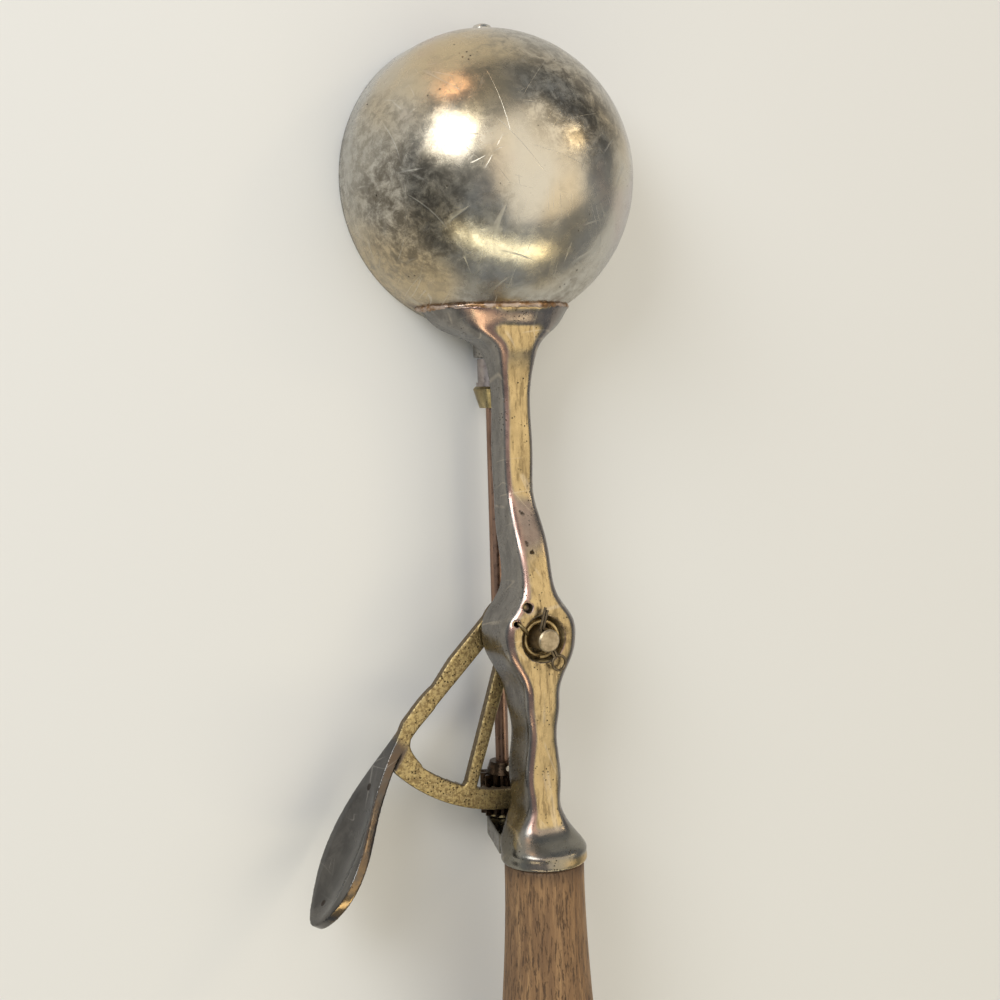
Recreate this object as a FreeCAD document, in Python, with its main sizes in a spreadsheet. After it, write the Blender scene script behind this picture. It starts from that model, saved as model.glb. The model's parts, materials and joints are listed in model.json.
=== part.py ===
import FreeCAD, Part
import math
import os
import re
import Sketcher

# Lever ice cream scoop: a sheet metal bowl soldered to one casting, a scraper
# inside the bowl turned by a long shaft and pinion, and a thumb lever whose face
# rack drives the pinion. Millimetres. X to the right, Y from the handle to the
# bowl's tip, Z up. The origin is the bowl's centre in the plane of its rim.

Vector = FreeCAD.Vector
ABOUT_X = Vector(1, 0, 0)
ABOUT_Y = Vector(0, 1, 0)
ABOUT_Z = Vector(0, 0, 1)

doc = FreeCAD.newDocument("ice_cream_scoop")
sheet = doc.addObject("Spreadsheet::Sheet", "Sizes")

SIZES = [
    # Clearances
    ("running_gap", 0.05, "radial clearance of a shaft in its bore"),
    ("side_gap", 0.15, "end clearance between turning faces"),
    ("solder_gap", 0.02, "film between the bowl and its flange"),
    # Bowl
    ("bowl_radius", 29.8, "outside of the bowl"),
    ("bowl_wall", 0.9, "sheet of the bowl"),
    ("axis_height", 5.2, "scraper axis above the rim, length of the straight skirt"),
    # Scraper
    ("blade_gap", 0.35, "between the bowl and the scraper blade"),
    ("blade_thick", 0.6, "scraper blade"),
    ("blade_width", 8.0, "scraper blade at its middle"),
    ("blade_ear_radius", 4.0, "round ends of the blade"),
    ("shaft_radius", 1.4, "scraper shaft"),
    ("spigot_radius", 1.0, "shaft end riveted in the blade"),
    ("peen_radius", 1.9, "riveted end"),
    ("peen_thick", 0.7, "riveted end"),
    ("rivet_radius", 1.0, "front pivot rivet"),
    ("rivet_head_radius", 2.1, "front pivot rivet head"),
    ("rivet_head_rise", 1.3, "front pivot rivet head"),
    ("tip_washer_radius", 2.4, "washer under the front rivet's peen"),
    ("tip_washer_thick", 0.5, "washer under the front rivet's peen"),
    # Shaft furniture
    ("sleeve_at", 35.9, "front end of the sleeve behind the bearing"),
    ("sleeve_length", 5.6, "sleeve on the shaft"),
    ("sleeve_radius", 2.9, "sleeve on the shaft"),
    ("sleeve_band_radius", 3.2, "raised band at the sleeve's end"),
    ("sleeve_band_length", 0.8, "raised band at the sleeve's end"),
    ("collar_length", 4.4, "tapered collar"),
    ("collar_front_radius", 3.9, "tapered collar, large end"),
    ("collar_back_radius", 2.7, "tapered collar, small end"),
    ("taper_pin_radius", 0.6, "pin through the collar"),
    # Gears
    ("gear_module", 0.7, "pitch diameter over number of teeth"),
    ("pinion_teeth", 12, "teeth on the pinion"),
    ("sector_teeth", 98, "teeth a full circle of the face rack would have"),
    ("tooth_addendum", 0.62, "tooth height above the pitch line"),
    ("tooth_dedendum", 0.875, "tooth depth below the pitch line"),
    ("tooth_backlash", 0.42, "play between the teeth along the pitch line"),
    ("pinion_front", 122.6, "front end of the pinion's teeth"),
    ("pinion_length", 8.6, "toothed length"),
    ("pinion_hub_length", 2.4, "flared hub in front of the teeth"),
    ("pinion_hub_radius", 2.7, "flared hub, small end"),
    ("thrust_washer_thick", 0.6, "washer between the pinion and the lug"),
    ("thrust_washer_radius", 3.0, "washer between the pinion and the lug"),
    # Thumb lever
    ("pivot_at", 91.0, "pivot pin behind the bowl's centre"),
    ("lever_thick", 2.0, "flat web of the lever"),
    ("hub_radius", 6.9, "round hub under the boss"),
    ("rack_inner_radius", 33.4, "rack web, inner edge"),
    ("rack_outer_radius", 37.7, "rack web, outer edge"),
    ("rack_tooth_inner", 33.4, "rack teeth, inner end"),
    ("rack_tooth_length", 3.2, "rack teeth, along the radius"),
    ("rack_count", 11, "rack teeth"),
    ("rack_end_angle", 5.6, "rack web past the shaft, degrees"),
    ("rack_root_angle", 49.0, "rack web to the paddle, degrees"),
    ("strut_angle", 18.2, "inner strut from the shaft's line, degrees"),
    ("strut_width", 3.2, "inner strut at the hub"),
    ("strut_end_width", 2.6, "inner strut at the rack"),
    ("arm_width", 3.9, "outer arm at the hub"),
    ("arm_end_width", 3.1, "outer arm at the paddle"),
    ("arm_bend", 13.5, "where the arm's outer edge bends towards the paddle"),
    ("arm_lean", 2.15, "how far that edge has leaned in at the paddle"),
    ("arm_angle", 45.0, "outer arm from the tool's length, degrees"),
    ("arm_offset", 4.6, "outer arm's middle from the pivot"),
    ("arm_reach", 29.6, "length of the outer arm from abreast of the pivot"),
    ("paddle_root_x", 24.0, "start of the paddle, to the left of the pivot"),
    ("paddle_root_y", 18.0, "start of the paddle, behind the pivot"),
    ("paddle_angle", 121.7, "direction of the paddle, degrees"),
    ("paddle_thick", 2.1, "thumb paddle"),
    ("dish_along", 26.0, "middle of the hollow along the paddle"),
    ("dish_at", 13.4, "middle of the hollow above the rim plane"),
    ("dish_tilt", 14.0, "turn of the hollow in the paddle's plane, degrees"),
    ("dish_depth", 1.1, "hollow of the thumb paddle"),
    ("dish_length", 24.0, "half axis of the hollow's ellipsoid along the paddle"),
    ("dish_height", 11.0, "half axis of the hollow's ellipsoid across the paddle"),
    ("dish_swell", 6.0, "half axis of the hollow's ellipsoid into the paddle"),
    ("pivot_washer_thick", 0.8, "washer between the lever and the boss"),
    ("pivot_washer_radius", 5.0, "washer between the lever and the boss"),
    # Pivot pin, spring and split pin
    ("pin_radius", 2.25, "pivot pin"),
    ("pin_top", 28.4, "top of the pivot pin"),
    ("pin_head_radius", 4.2, "head under the lever"),
    ("pin_head_thick", 1.5, "head under the lever"),
    ("recess_radius", 4.6, "recess in the boss round the pin"),
    ("recess_depth", 4.6, "recess in the boss round the pin"),
    ("spring_wire", 0.8, "diameter of the spring wire"),
    ("spring_radius", 3.45, "middle of the spring's turns"),
    ("spring_pitch", 1.25, "rise of one turn"),
    ("spring_turns", 2.75, "turns of the return spring"),
    ("split_wire", 0.56, "wire of the split pin"),
    ("split_height", 27.4, "split pin above the rim plane"),
    ("split_eye_radius", 1.45, "middle of the wire round the eye"),
    ("split_leg_ahead", 5.85, "legs past the pivot pin's middle"),
    ("split_head_back", 5.3, "eye behind the pivot pin's middle"),
    ("split_knee", 2.6, "bend of the legs, ahead of the pivot pin's middle"),
    ("split_toe_aside", 3.0, "legs' ends, aside of the pin's own line"),
    ("split_turn", 27.0, "split pin from the tool's length, degrees"),
    # Casting
    ("flange_at", 25.8, "edge of the flange on the bowl"),
    ("flange_radius", 15.6, "flange about the scraper axis"),
    ("flange_foot", 3.6, "lower edge of the flange"),
    ("stem_width", 6.7, "stem between the bowl and the boss"),
    ("stem_top", 17.5, "top of the straight stem"),
    ("stem_foot", 9.6, "underside of the straight stem"),
    ("stem_crown", 1.8, "rounding of the stem's top edges"),
    ("stem_heel", 2.3, "rounding of the stem's lower edges"),
    ("boss_radius", 8.1, "swelling round the pivot pin"),
    ("boss_top", 26.0, "flat top of the boss"),
    ("arm_back_width", 7.4, "casting behind the boss"),
    ("arm_back_foot", 14.9, "underside of the casting behind the boss"),
    ("bearing_radius", 3.7, "front bearing of the shaft"),
    ("bearing_end", 35.7, "back face of the front bearing"),
    ("anchor_radius", 0.55, "hole for the spring's fixed end"),
    ("anchor_depth", 3.0, "hole for the spring's fixed end"),
    ("anchor_x", 5.6, "hole for the spring's fixed end, left of the pin"),
    ("anchor_ahead", 3.4, "hole for the spring's fixed end, ahead of the pin"),
    ("oil_hole_radius", 0.95, "small blind hole ahead of the pin"),
    ("oil_hole_depth", 2.0, "small blind hole ahead of the pin"),
    ("oil_hole_x", 3.1, "small blind hole, left of the middle"),
    ("oil_hole_ahead", 6.4, "small blind hole, ahead of the pin"),
    # Ferrule and lug
    ("handle_height", 23.5, "handle axis above the rim plane"),
    ("ferrule_start", 126.5, "front of the ferrule's flare"),
    ("ferrule_ridge", 1.7, "width of the ferrule's rim"),
    ("ferrule_radius", 8.7, "ferrule at its rim"),
    ("ferrule_end", 136.0, "back edge of the ferrule"),
    ("socket_radius", 6.6, "socket for the handle's spigot"),
    ("socket_depth", 2.6, "socket for the handle's spigot"),
    ("lug_front", 132.0, "front face of the lug that holds the shaft's end"),
    ("lug_thick", 4.0, "lug along the shaft"),
    ("lug_radius", 3.6, "round lower end of the lug, about the shaft"),
    ("lug_root_width", 13.6, "lug at the ferrule"),
    # Handle
    ("handle_root_radius", 8.0, "wood at the ferrule"),
    ("handle_swell_radius", 12.5, "thickest part of the handle"),
    ("handle_swell_at", 212.0, "thickest part of the handle"),
    ("handle_butt_radius", 9.4, "handle at the start of the rounded butt"),
    ("handle_end", 250.0, "end of the wood"),
    ("tang_radius", 2.4, "steel rod through the handle"),
    ("tang_front", 130.5, "front end of the rod, inside the casting"),
    ("butt_washer_radius", 5.6, "washer on the butt"),
    ("butt_washer_thick", 1.0, "washer on the butt"),
    ("butt_nut_radius", 4.3, "nut on the butt, across its corners"),
    ("butt_nut_thick", 3.2, "nut on the butt"),
]

size = {}
for row, (alias, number, meaning) in enumerate(SIZES, start=1):
    sheet.set(f"A{row}", meaning)
    sheet.set(f"B{row}", str(number))
    sheet.setAlias(f"B{row}", alias)
    size[alias] = number
doc.recompute()


def named(formula):
    """A formula in the sheet's own names, as the document reads it."""
    return re.sub(r"\b([a-z]+(?:_[a-z]+)+)\b", r"Sizes.\1", formula)


def value(formula):
    """The number that a formula gives now."""
    return float(sheet.evalExpression(named(formula)))


def bind(item, path, formula):
    item.setExpression(path, named(formula))


def new_body(label):
    body = doc.addObject("PartDesign::Body", label)
    body.Label = label
    return body


def plane(body, role):
    return next(item for item in body.Origin.OriginFeatures if item.Role == role)


def sketch_on(body, role, name, lift="0"):
    """A sketch on an origin plane of its body, lifted along the plane's normal."""
    sketch = body.newObject("Sketcher::SketchObject", name)
    sketch.AttachmentSupport = (plane(body, role), [""])
    sketch.MapMode = "FlatFace"
    if lift != "0":
        sketch.AttachmentOffset = FreeCAD.Placement(Vector(0, 0, value(lift)), FreeCAD.Rotation())
        bind(sketch, "AttachmentOffset.Base.z", lift)
    return sketch


def fix_point(sketch, geometry, end, x, y):
    """Hold a sketch point at formulas for its two coordinates."""
    for kind, formula in (("DistanceX", x), ("DistanceY", y)):
        index = sketch.addConstraint(Sketcher.Constraint(kind, -1, 1, geometry, end, value(formula)))
        bind(sketch, f"Constraints[{index}]", formula)


def outline(sketch, corners):
    """A closed outline of straight edges through corners given as formulas."""
    points = [Vector(value(x), value(y), 0) for x, y in corners]
    count = len(points)
    for index in range(count):
        sketch.addGeometry(Part.LineSegment(points[index], points[(index + 1) % count]), False)
    for index in range(count):
        sketch.addConstraint(Sketcher.Constraint("Coincident", index, 2, (index + 1) % count, 1))
    for index, (x, y) in enumerate(corners):
        fix_point(sketch, index, 1, x, y)


def circle(sketch, x, y, radius):
    centre = Vector(value(x), value(y), 0)
    index = sketch.addGeometry(Part.Circle(centre, Vector(0, 0, 1), value(radius)), False)
    fix_point(sketch, index, 3, x, y)
    at = sketch.addConstraint(Sketcher.Constraint("Radius", index, value(radius)))
    bind(sketch, f"Constraints[{at}]", radius)


def pad(body, sketch, name, length, backwards=False):
    feature = body.newObject("PartDesign::Pad", name)
    feature.Profile = sketch
    feature.Length = value(length)
    bind(feature, "Length", length)
    feature.Reversed = backwards
    return feature


def pocket(body, sketch, name, length, backwards=False):
    feature = body.newObject("PartDesign::Pocket", name)
    feature.Profile = sketch
    feature.Length = value(length)
    bind(feature, "Length", length)
    feature.Reversed = backwards
    return feature


def revolve(body, sketch, name, axis, kind="PartDesign::Revolution"):
    feature = body.newObject(kind, name)
    feature.Profile = sketch
    feature.ReferenceAxis = (sketch, [axis])
    feature.Angle = 360
    return feature


def turned(label, corners):
    """A piece turned on the scraper axis: corners are (place behind the bowl, radius)."""
    body = new_body(label)
    sketch = sketch_on(body, "YZ_Plane", label + "_profile")
    outline(sketch, [(f"-({at})", radius) for at, radius in corners])
    revolve(body, sketch, label + "_turned", "H_Axis")
    lift_to_shaft(body)
    return body


def lift_to_shaft(body):
    body.Placement.Base = Vector(0, 0, value("axis_height"))
    bind(body, "Placement.Base.z", "axis_height")


def move_to_pivot(body):
    body.Placement.Base = Vector(0, -value("pivot_at"), 0)
    bind(body, "Placement.Base.y", "-pivot_at")


# Bowl: a spun half sphere on a short straight skirt
INNER = "bowl_radius - bowl_wall"


def dome_profile(sketch, outer, inner):
    """Half section of a domed skirt between two radii, or of a solid dome."""
    height = value("axis_height")
    out = value(outer)
    side = Part.LineSegment(Vector(out, 0, 0), Vector(out, height, 0))
    crown = Part.ArcOfCircle(Part.Circle(Vector(0, height, 0), Vector(0, 0, 1), out), 0, math.pi / 2)
    sketch.addGeometry(side, False)
    sketch.addGeometry(crown, False)
    sketch.addConstraint(Sketcher.Constraint("Coincident", 0, 2, 1, 1))
    fix_point(sketch, 0, 1, outer, "0")
    fix_point(sketch, 1, 3, "0", "axis_height")
    fix_point(sketch, 1, 1, outer, "axis_height")
    sketch.addConstraint(Sketcher.Constraint("PointOnObject", 1, 2, -2))
    if inner is None:
        sketch.addGeometry(Part.LineSegment(Vector(0, height + out, 0), Vector(0, 0, 0)), False)
        sketch.addGeometry(Part.LineSegment(Vector(0, 0, 0), Vector(out, 0, 0)), False)
        sketch.addConstraint(Sketcher.Constraint("Coincident", 1, 2, 2, 1))
        sketch.addConstraint(Sketcher.Constraint("Coincident", 2, 2, -1, 1))
        sketch.addConstraint(Sketcher.Constraint("Coincident", 3, 1, -1, 1))
        sketch.addConstraint(Sketcher.Constraint("Coincident", 3, 2, 0, 1))
        return
    within = value(inner)
    sketch.addGeometry(Part.LineSegment(Vector(0, height + out, 0), Vector(0, height + within, 0)), False)
    arc = Part.Circle(Vector(0, height, 0), Vector(0, 0, 1), within)
    sketch.addGeometry(Part.ArcOfCircle(arc, 0, math.pi / 2), False)
    sketch.addGeometry(Part.LineSegment(Vector(within, height, 0), Vector(within, 0, 0)), False)
    sketch.addGeometry(Part.LineSegment(Vector(within, 0, 0), Vector(out, 0, 0)), False)
    sketch.addConstraint(Sketcher.Constraint("Coincident", 1, 2, 2, 1))
    sketch.addConstraint(Sketcher.Constraint("Coincident", 2, 2, 3, 2))
    sketch.addConstraint(Sketcher.Constraint("Coincident", 3, 1, 4, 1))
    sketch.addConstraint(Sketcher.Constraint("Coincident", 4, 2, 5, 1))
    sketch.addConstraint(Sketcher.Constraint("Coincident", 5, 2, 0, 1))
    fix_point(sketch, 3, 3, "0", "axis_height")
    fix_point(sketch, 3, 1, inner, "axis_height")
    sketch.addConstraint(Sketcher.Constraint("PointOnObject", 3, 2, -2))
    fix_point(sketch, 4, 2, inner, "0")


def make_bowl():
    body = new_body("bowl")
    section = sketch_on(body, "XZ_Plane", "bowl_section")
    dome_profile(section, "bowl_radius", INNER)
    revolve(body, section, "bowl_spun", "V_Axis")
    shaft_hole = sketch_on(body, "XZ_Plane", "bowl_shaft_hole")
    circle(shaft_hole, "0", "axis_height", "shaft_radius + running_gap")
    pocket(body, shaft_hole, "bowl_shaft_bore", "bowl_radius + bowl_wall", backwards=True)
    rivet_hole = sketch_on(body, "XZ_Plane", "bowl_rivet_hole")
    circle(rivet_hole, "0", "axis_height", "rivet_radius")
    pocket(body, rivet_hole, "bowl_rivet_bore", "bowl_radius + bowl_wall")
    return body


# Scraper: a thin band that follows the inside of the dome from pole to pole
BLADE_OUT = "bowl_radius - bowl_wall - blade_gap"
BLADE_IN = "bowl_radius - bowl_wall - blade_gap - blade_thick"


def make_blade():
    shell_out = doc.addObject("Part::Sphere", "blade_outside")
    bind(shell_out, "Radius", BLADE_OUT)
    shell_in = doc.addObject("Part::Sphere", "blade_inside")
    bind(shell_in, "Radius", BLADE_IN)
    shell = doc.addObject("Part::Cut", "blade_shell")
    shell.Base = shell_out
    shell.Tool = shell_in
    # The band is a slab on the left of the scraper axis, with a round ear at each pole
    slab = doc.addObject("Part::Box", "blade_slab")
    bind(slab, "Length", "bowl_radius")
    bind(slab, "Width", "2 * bowl_radius")
    bind(slab, "Height", "blade_width")
    bind(slab, "Placement.Base.x", "-bowl_radius")
    bind(slab, "Placement.Base.y", "-bowl_radius")
    bind(slab, "Placement.Base.z", "-blade_width / 2")
    ears = doc.addObject("Part::Cylinder", "blade_ears")
    bind(ears, "Radius", "blade_ear_radius")
    bind(ears, "Height", "2 * bowl_radius")
    ears.Placement = FreeCAD.Placement(Vector(0, 0, 0), FreeCAD.Rotation(ABOUT_X, 90))
    bind(ears, "Placement.Base.y", "bowl_radius")
    reach = doc.addObject("Part::Fuse", "blade_reach")
    reach.Base = slab
    reach.Tool = ears
    band = doc.addObject("Part::Common", "blade_band")
    band.Base = shell
    band.Tool = reach
    front = doc.addObject("Part::Cylinder", "blade_front_hole")
    bind(front, "Radius", "rivet_radius + running_gap")
    bind(front, "Height", "bowl_radius")
    front.Placement = FreeCAD.Placement(Vector(0, 0, 0), FreeCAD.Rotation(ABOUT_X, -90))
    back = doc.addObject("Part::Cylinder", "blade_back_hole")
    bind(back, "Radius", "spigot_radius")
    bind(back, "Height", "bowl_radius")
    back.Placement = FreeCAD.Placement(Vector(0, 0, 0), FreeCAD.Rotation(ABOUT_X, 90))
    holes = doc.addObject("Part::MultiFuse", "blade_holes")
    holes.Shapes = [front, back]
    blade = doc.addObject("Part::Cut", "scraper_blade")
    blade.Base = band
    blade.Tool = holes
    blade.Label = "scraper_blade"
    lift_to_shaft(blade)
    return blade


# Turned pieces on the scraper axis. Places are distances behind the bowl's centre.
PEEN_SEAT = "sqrt((" + BLADE_IN + ")^2 - peen_radius^2)"
WASHER_SEAT = "(sqrt((" + BLADE_IN + ")^2 - tip_washer_radius^2) - running_gap)"
SHAFT_END = "(lug_front + lug_thick - side_gap)"
SLEEVE_END = "(sleeve_at + sleeve_length)"
COLLAR_END = "(sleeve_at + sleeve_length + collar_length)"


def make_shaft():
    return turned("scraper_shaft", [
        (PEEN_SEAT + " - peen_thick", "0"),
        (PEEN_SEAT + " - peen_thick", "peen_radius * 0.6"),
        (PEEN_SEAT + " - peen_thick * 0.4", "peen_radius"),
        (PEEN_SEAT, "peen_radius"),
        (PEEN_SEAT, "spigot_radius"),
        (BLADE_OUT, "spigot_radius"),
        (BLADE_OUT, "shaft_radius"),
        (SHAFT_END, "shaft_radius"),
        (SHAFT_END, "0"),
    ])


def make_tip_rivet():
    return turned("tip_rivet", [
        ("-(bowl_radius + rivet_head_rise)", "0"),
        ("-(bowl_radius + rivet_head_rise)", "rivet_head_radius * 0.45"),
        ("-(bowl_radius + rivet_head_rise * 0.75)", "rivet_head_radius * 0.8"),
        ("-(bowl_radius + rivet_head_rise * 0.3)", "rivet_head_radius"),
        ("-bowl_radius", "rivet_head_radius"),
        ("-bowl_radius", "rivet_radius"),
        ("-(" + WASHER_SEAT + " - tip_washer_thick)", "rivet_radius"),
        ("-(" + WASHER_SEAT + " - tip_washer_thick)", "peen_radius * 0.8"),
        ("-(" + WASHER_SEAT + " - tip_washer_thick - peen_thick)", "peen_radius * 0.6"),
        ("-(" + WASHER_SEAT + " - tip_washer_thick - peen_thick)", "0"),
    ])


def make_tip_washer():
    return turned("tip_washer", [
        ("-" + WASHER_SEAT, "rivet_radius"),
        ("-" + WASHER_SEAT, "tip_washer_radius"),
        ("-(" + WASHER_SEAT + " - tip_washer_thick)", "tip_washer_radius"),
        ("-(" + WASHER_SEAT + " - tip_washer_thick)", "rivet_radius"),
    ])


def make_sleeve():
    return turned("shaft_sleeve", [
        ("sleeve_at", "shaft_radius"),
        ("sleeve_at", "sleeve_radius"),
        (SLEEVE_END + " - sleeve_band_length", "sleeve_radius"),
        (SLEEVE_END + " - sleeve_band_length", "sleeve_band_radius"),
        (SLEEVE_END, "sleeve_band_radius"),
        (SLEEVE_END, "shaft_radius"),
    ])


def make_collar():
    """Tapered collar, drilled across for its pin."""
    body = turned("shaft_collar", [
        (SLEEVE_END, "shaft_radius"),
        (SLEEVE_END, "collar_front_radius - 0.5"),
        (SLEEVE_END + " + 0.5", "collar_front_radius"),
        (COLLAR_END, "collar_back_radius"),
        (COLLAR_END, "shaft_radius"),
    ])
    hole = sketch_on(body, "XY_Plane", "shaft_collar_hole", "-collar_front_radius")
    circle(hole, "0", "-(sleeve_at + sleeve_length + collar_length / 2)", "taper_pin_radius")
    pocket(body, hole, "shaft_collar_bore", "2 * collar_front_radius", backwards=True)
    return body


def drill_shaft(body):
    """Cross holes for the pins of the collar and the pinion."""
    for name, place in (("collar", "sleeve_at + sleeve_length + collar_length / 2"), ("pinion", PINION_PIN)):
        hole = sketch_on(body, "XY_Plane", f"shaft_{name}_hole", "-collar_front_radius")
        circle(hole, "0", f"-({place})", "taper_pin_radius")
        pocket(body, hole, f"shaft_{name}_bore", "2 * collar_front_radius", backwards=True)


def make_cross_pin(label, place, reach):
    pin = doc.addObject("Part::Cylinder", label)
    pin.Label = label
    bind(pin, "Radius", "taper_pin_radius")
    bind(pin, "Height", f"2 * ({reach})")
    bind(pin, "Placement.Base.y", f"-({place})")
    bind(pin, "Placement.Base.z", f"axis_height - ({reach})")
    return pin


# Pinion: twelve teeth on a hub that flares towards the bowl
PITCH = "(gear_module * pinion_teeth / 2)"
ROOT = "(gear_module * pinion_teeth / 2 - tooth_dedendum)"
TIP = "(gear_module * pinion_teeth / 2 + tooth_addendum)"
HALF_SPACE = "(gear_module * pi / 4)"
PINION_PIN = "(pinion_front - pinion_hub_length / 2)"


def make_pinion():
    body = new_body("pinion")
    profile = sketch_on(body, "YZ_Plane", "pinion_profile")
    outline(profile, [
        ("-(pinion_front - pinion_hub_length)", "shaft_radius"),
        ("-(pinion_front - pinion_hub_length)", "pinion_hub_radius"),
        ("-pinion_front", ROOT + " + 0.1"),
        ("-pinion_front", ROOT),
        ("-(pinion_front + pinion_length)", ROOT),
        ("-(pinion_front + pinion_length)", "shaft_radius"),
    ])
    revolve(body, profile, "pinion_core", "H_Axis")
    # A tooth space faces up at rest, where the rack's middle tooth stands
    tooth = sketch_on(body, "XZ_Plane", "pinion_tooth_outline", "pinion_front")
    turn = FreeCAD.Rotation(ABOUT_Z, 180 / size["pinion_teeth"])
    tooth.AttachmentOffset = FreeCAD.Placement(tooth.AttachmentOffset.Base, turn)
    bind(tooth, "AttachmentOffset.Rotation.Angle", "180 / pinion_teeth")
    outline(tooth, [
        ("-0.86 * " + HALF_SPACE + " - 0.12", ROOT + " - 0.25"),
        ("0.86 * " + HALF_SPACE + " + 0.12", ROOT + " - 0.25"),
        ("1.04 * " + HALF_SPACE, ROOT + " + 0.35"),
        (HALF_SPACE + " - tooth_backlash / 4", PITCH),
        ("0.42 * " + HALF_SPACE + " - tooth_backlash / 8", TIP),
        ("-0.42 * " + HALF_SPACE + " + tooth_backlash / 8", TIP),
        ("-" + HALF_SPACE + " + tooth_backlash / 4", PITCH),
        ("-1.04 * " + HALF_SPACE, ROOT + " + 0.35"),
    ])
    pad(body, tooth, "pinion_tooth", "pinion_length")
    ring = body.newObject("PartDesign::PolarPattern", "pinion_teeth_ring")
    ring.Originals = [body.getObject("pinion_tooth")]
    ring.Axis = (plane(body, "Y_Axis"), [""])
    ring.Angle = 360
    bind(ring, "Occurrences", "pinion_teeth")
    body.Tip = ring
    cross = sketch_on(body, "XY_Plane", "pinion_pin_hole", "-collar_front_radius")
    circle(cross, "0", "-" + PINION_PIN, "taper_pin_radius")
    pocket(body, cross, "pinion_pin_bore", "2 * collar_front_radius", backwards=True)
    lift_to_shaft(body)
    return body


def make_thrust_washer():
    return turned("thrust_washer", [
        ("pinion_front + pinion_length", "shaft_radius"),
        ("pinion_front + pinion_length", "thrust_washer_radius"),
        ("pinion_front + pinion_length + thrust_washer_thick", "thrust_washer_radius"),
        ("pinion_front + pinion_length + thrust_washer_thick", "shaft_radius"),
    ])


# Thumb lever, modelled about its own pivot
LEVER_FOOT = "(axis_height + gear_module * pinion_teeth / 2 + tooth_dedendum)"
LEVER_TOP = "(axis_height + gear_module * pinion_teeth / 2 + tooth_dedendum + lever_thick)"
RACK_TIP = "(axis_height + gear_module * pinion_teeth / 2 - tooth_addendum)"
BOSS_FOOT = "(" + LEVER_TOP + " + pivot_washer_thick + side_gap)"

# Side view of the paddle: distance from its root along the paddle, height above the
# rim plane. It leaves the flat arm, bellies down, and rises to a broad round tip.
PADDLE_LOWER = [(0.0, 10.3), (7.0, 7.7), (14.0, 5.2), (22.0, 3.9), (30.0, 5.2), (37.0, 9.6)]
PADDLE_UPPER = [(41.2, 15.0), (37.4, 20.6), (31.0, 23.0), (25.0, 21.6), (18.6, 17.6), (10.0, 13.7), (0.0, 12.27)]


def band(body, name, corners):
    """A flat web of the lever with straight edges, of the lever's thickness."""
    sketch = sketch_on(body, "XY_Plane", name + "_outline", LEVER_FOOT)
    outline(sketch, corners)
    pad(body, sketch, name, "lever_thick")


def rack_web(body):
    """The curved web that carries the rack, from past the shaft to the paddle."""
    sketch = sketch_on(body, "XY_Plane", "rack_web_outline", LEVER_FOOT)
    start = -math.pi / 2 - math.radians(size["rack_root_angle"])
    end = -math.pi / 2 + math.radians(size["rack_end_angle"])
    rim = [size["rack_outer_radius"], size["rack_inner_radius"]]
    ends = [[Vector(r * math.cos(a), r * math.sin(a), 0) for a in (start, end)] for r in rim]
    for radius in rim:
        sketch.addGeometry(Part.ArcOfCircle(Part.Circle(Vector(0, 0, 0), Vector(0, 0, 1), radius), start, end), False)
    sketch.addGeometry(Part.LineSegment(ends[0][0], ends[1][0]), False)
    sketch.addGeometry(Part.LineSegment(ends[0][1], ends[1][1]), False)
    for first, first_end, second, second_end in ((0, 1, 2, 1), (1, 1, 2, 2), (0, 2, 3, 1), (1, 2, 3, 2)):
        sketch.addConstraint(Sketcher.Constraint("Coincident", first, first_end, second, second_end))
    for arc, name in ((0, "rack_outer_radius"), (1, "rack_inner_radius")):
        sketch.addConstraint(Sketcher.Constraint("Coincident", arc, 3, -1, 1))
        index = sketch.addConstraint(Sketcher.Constraint("Radius", arc, size[name]))
        bind(sketch, f"Constraints[{index}]", name)
    for arc, name in ((0, "rack_outer_radius"), (1, "rack_inner_radius")):
        for end, formula in (
            (1, f"-{name} * sin(rack_root_angle * 1 deg)"),
            (2, f"{name} * sin(rack_end_angle * 1 deg)"),
        ):
            index = sketch.addConstraint(Sketcher.Constraint("DistanceX", -1, 1, arc, end, value(formula)))
            bind(sketch, f"Constraints[{index}]", formula)
    pad(body, sketch, "rack_web", "lever_thick")


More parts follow.
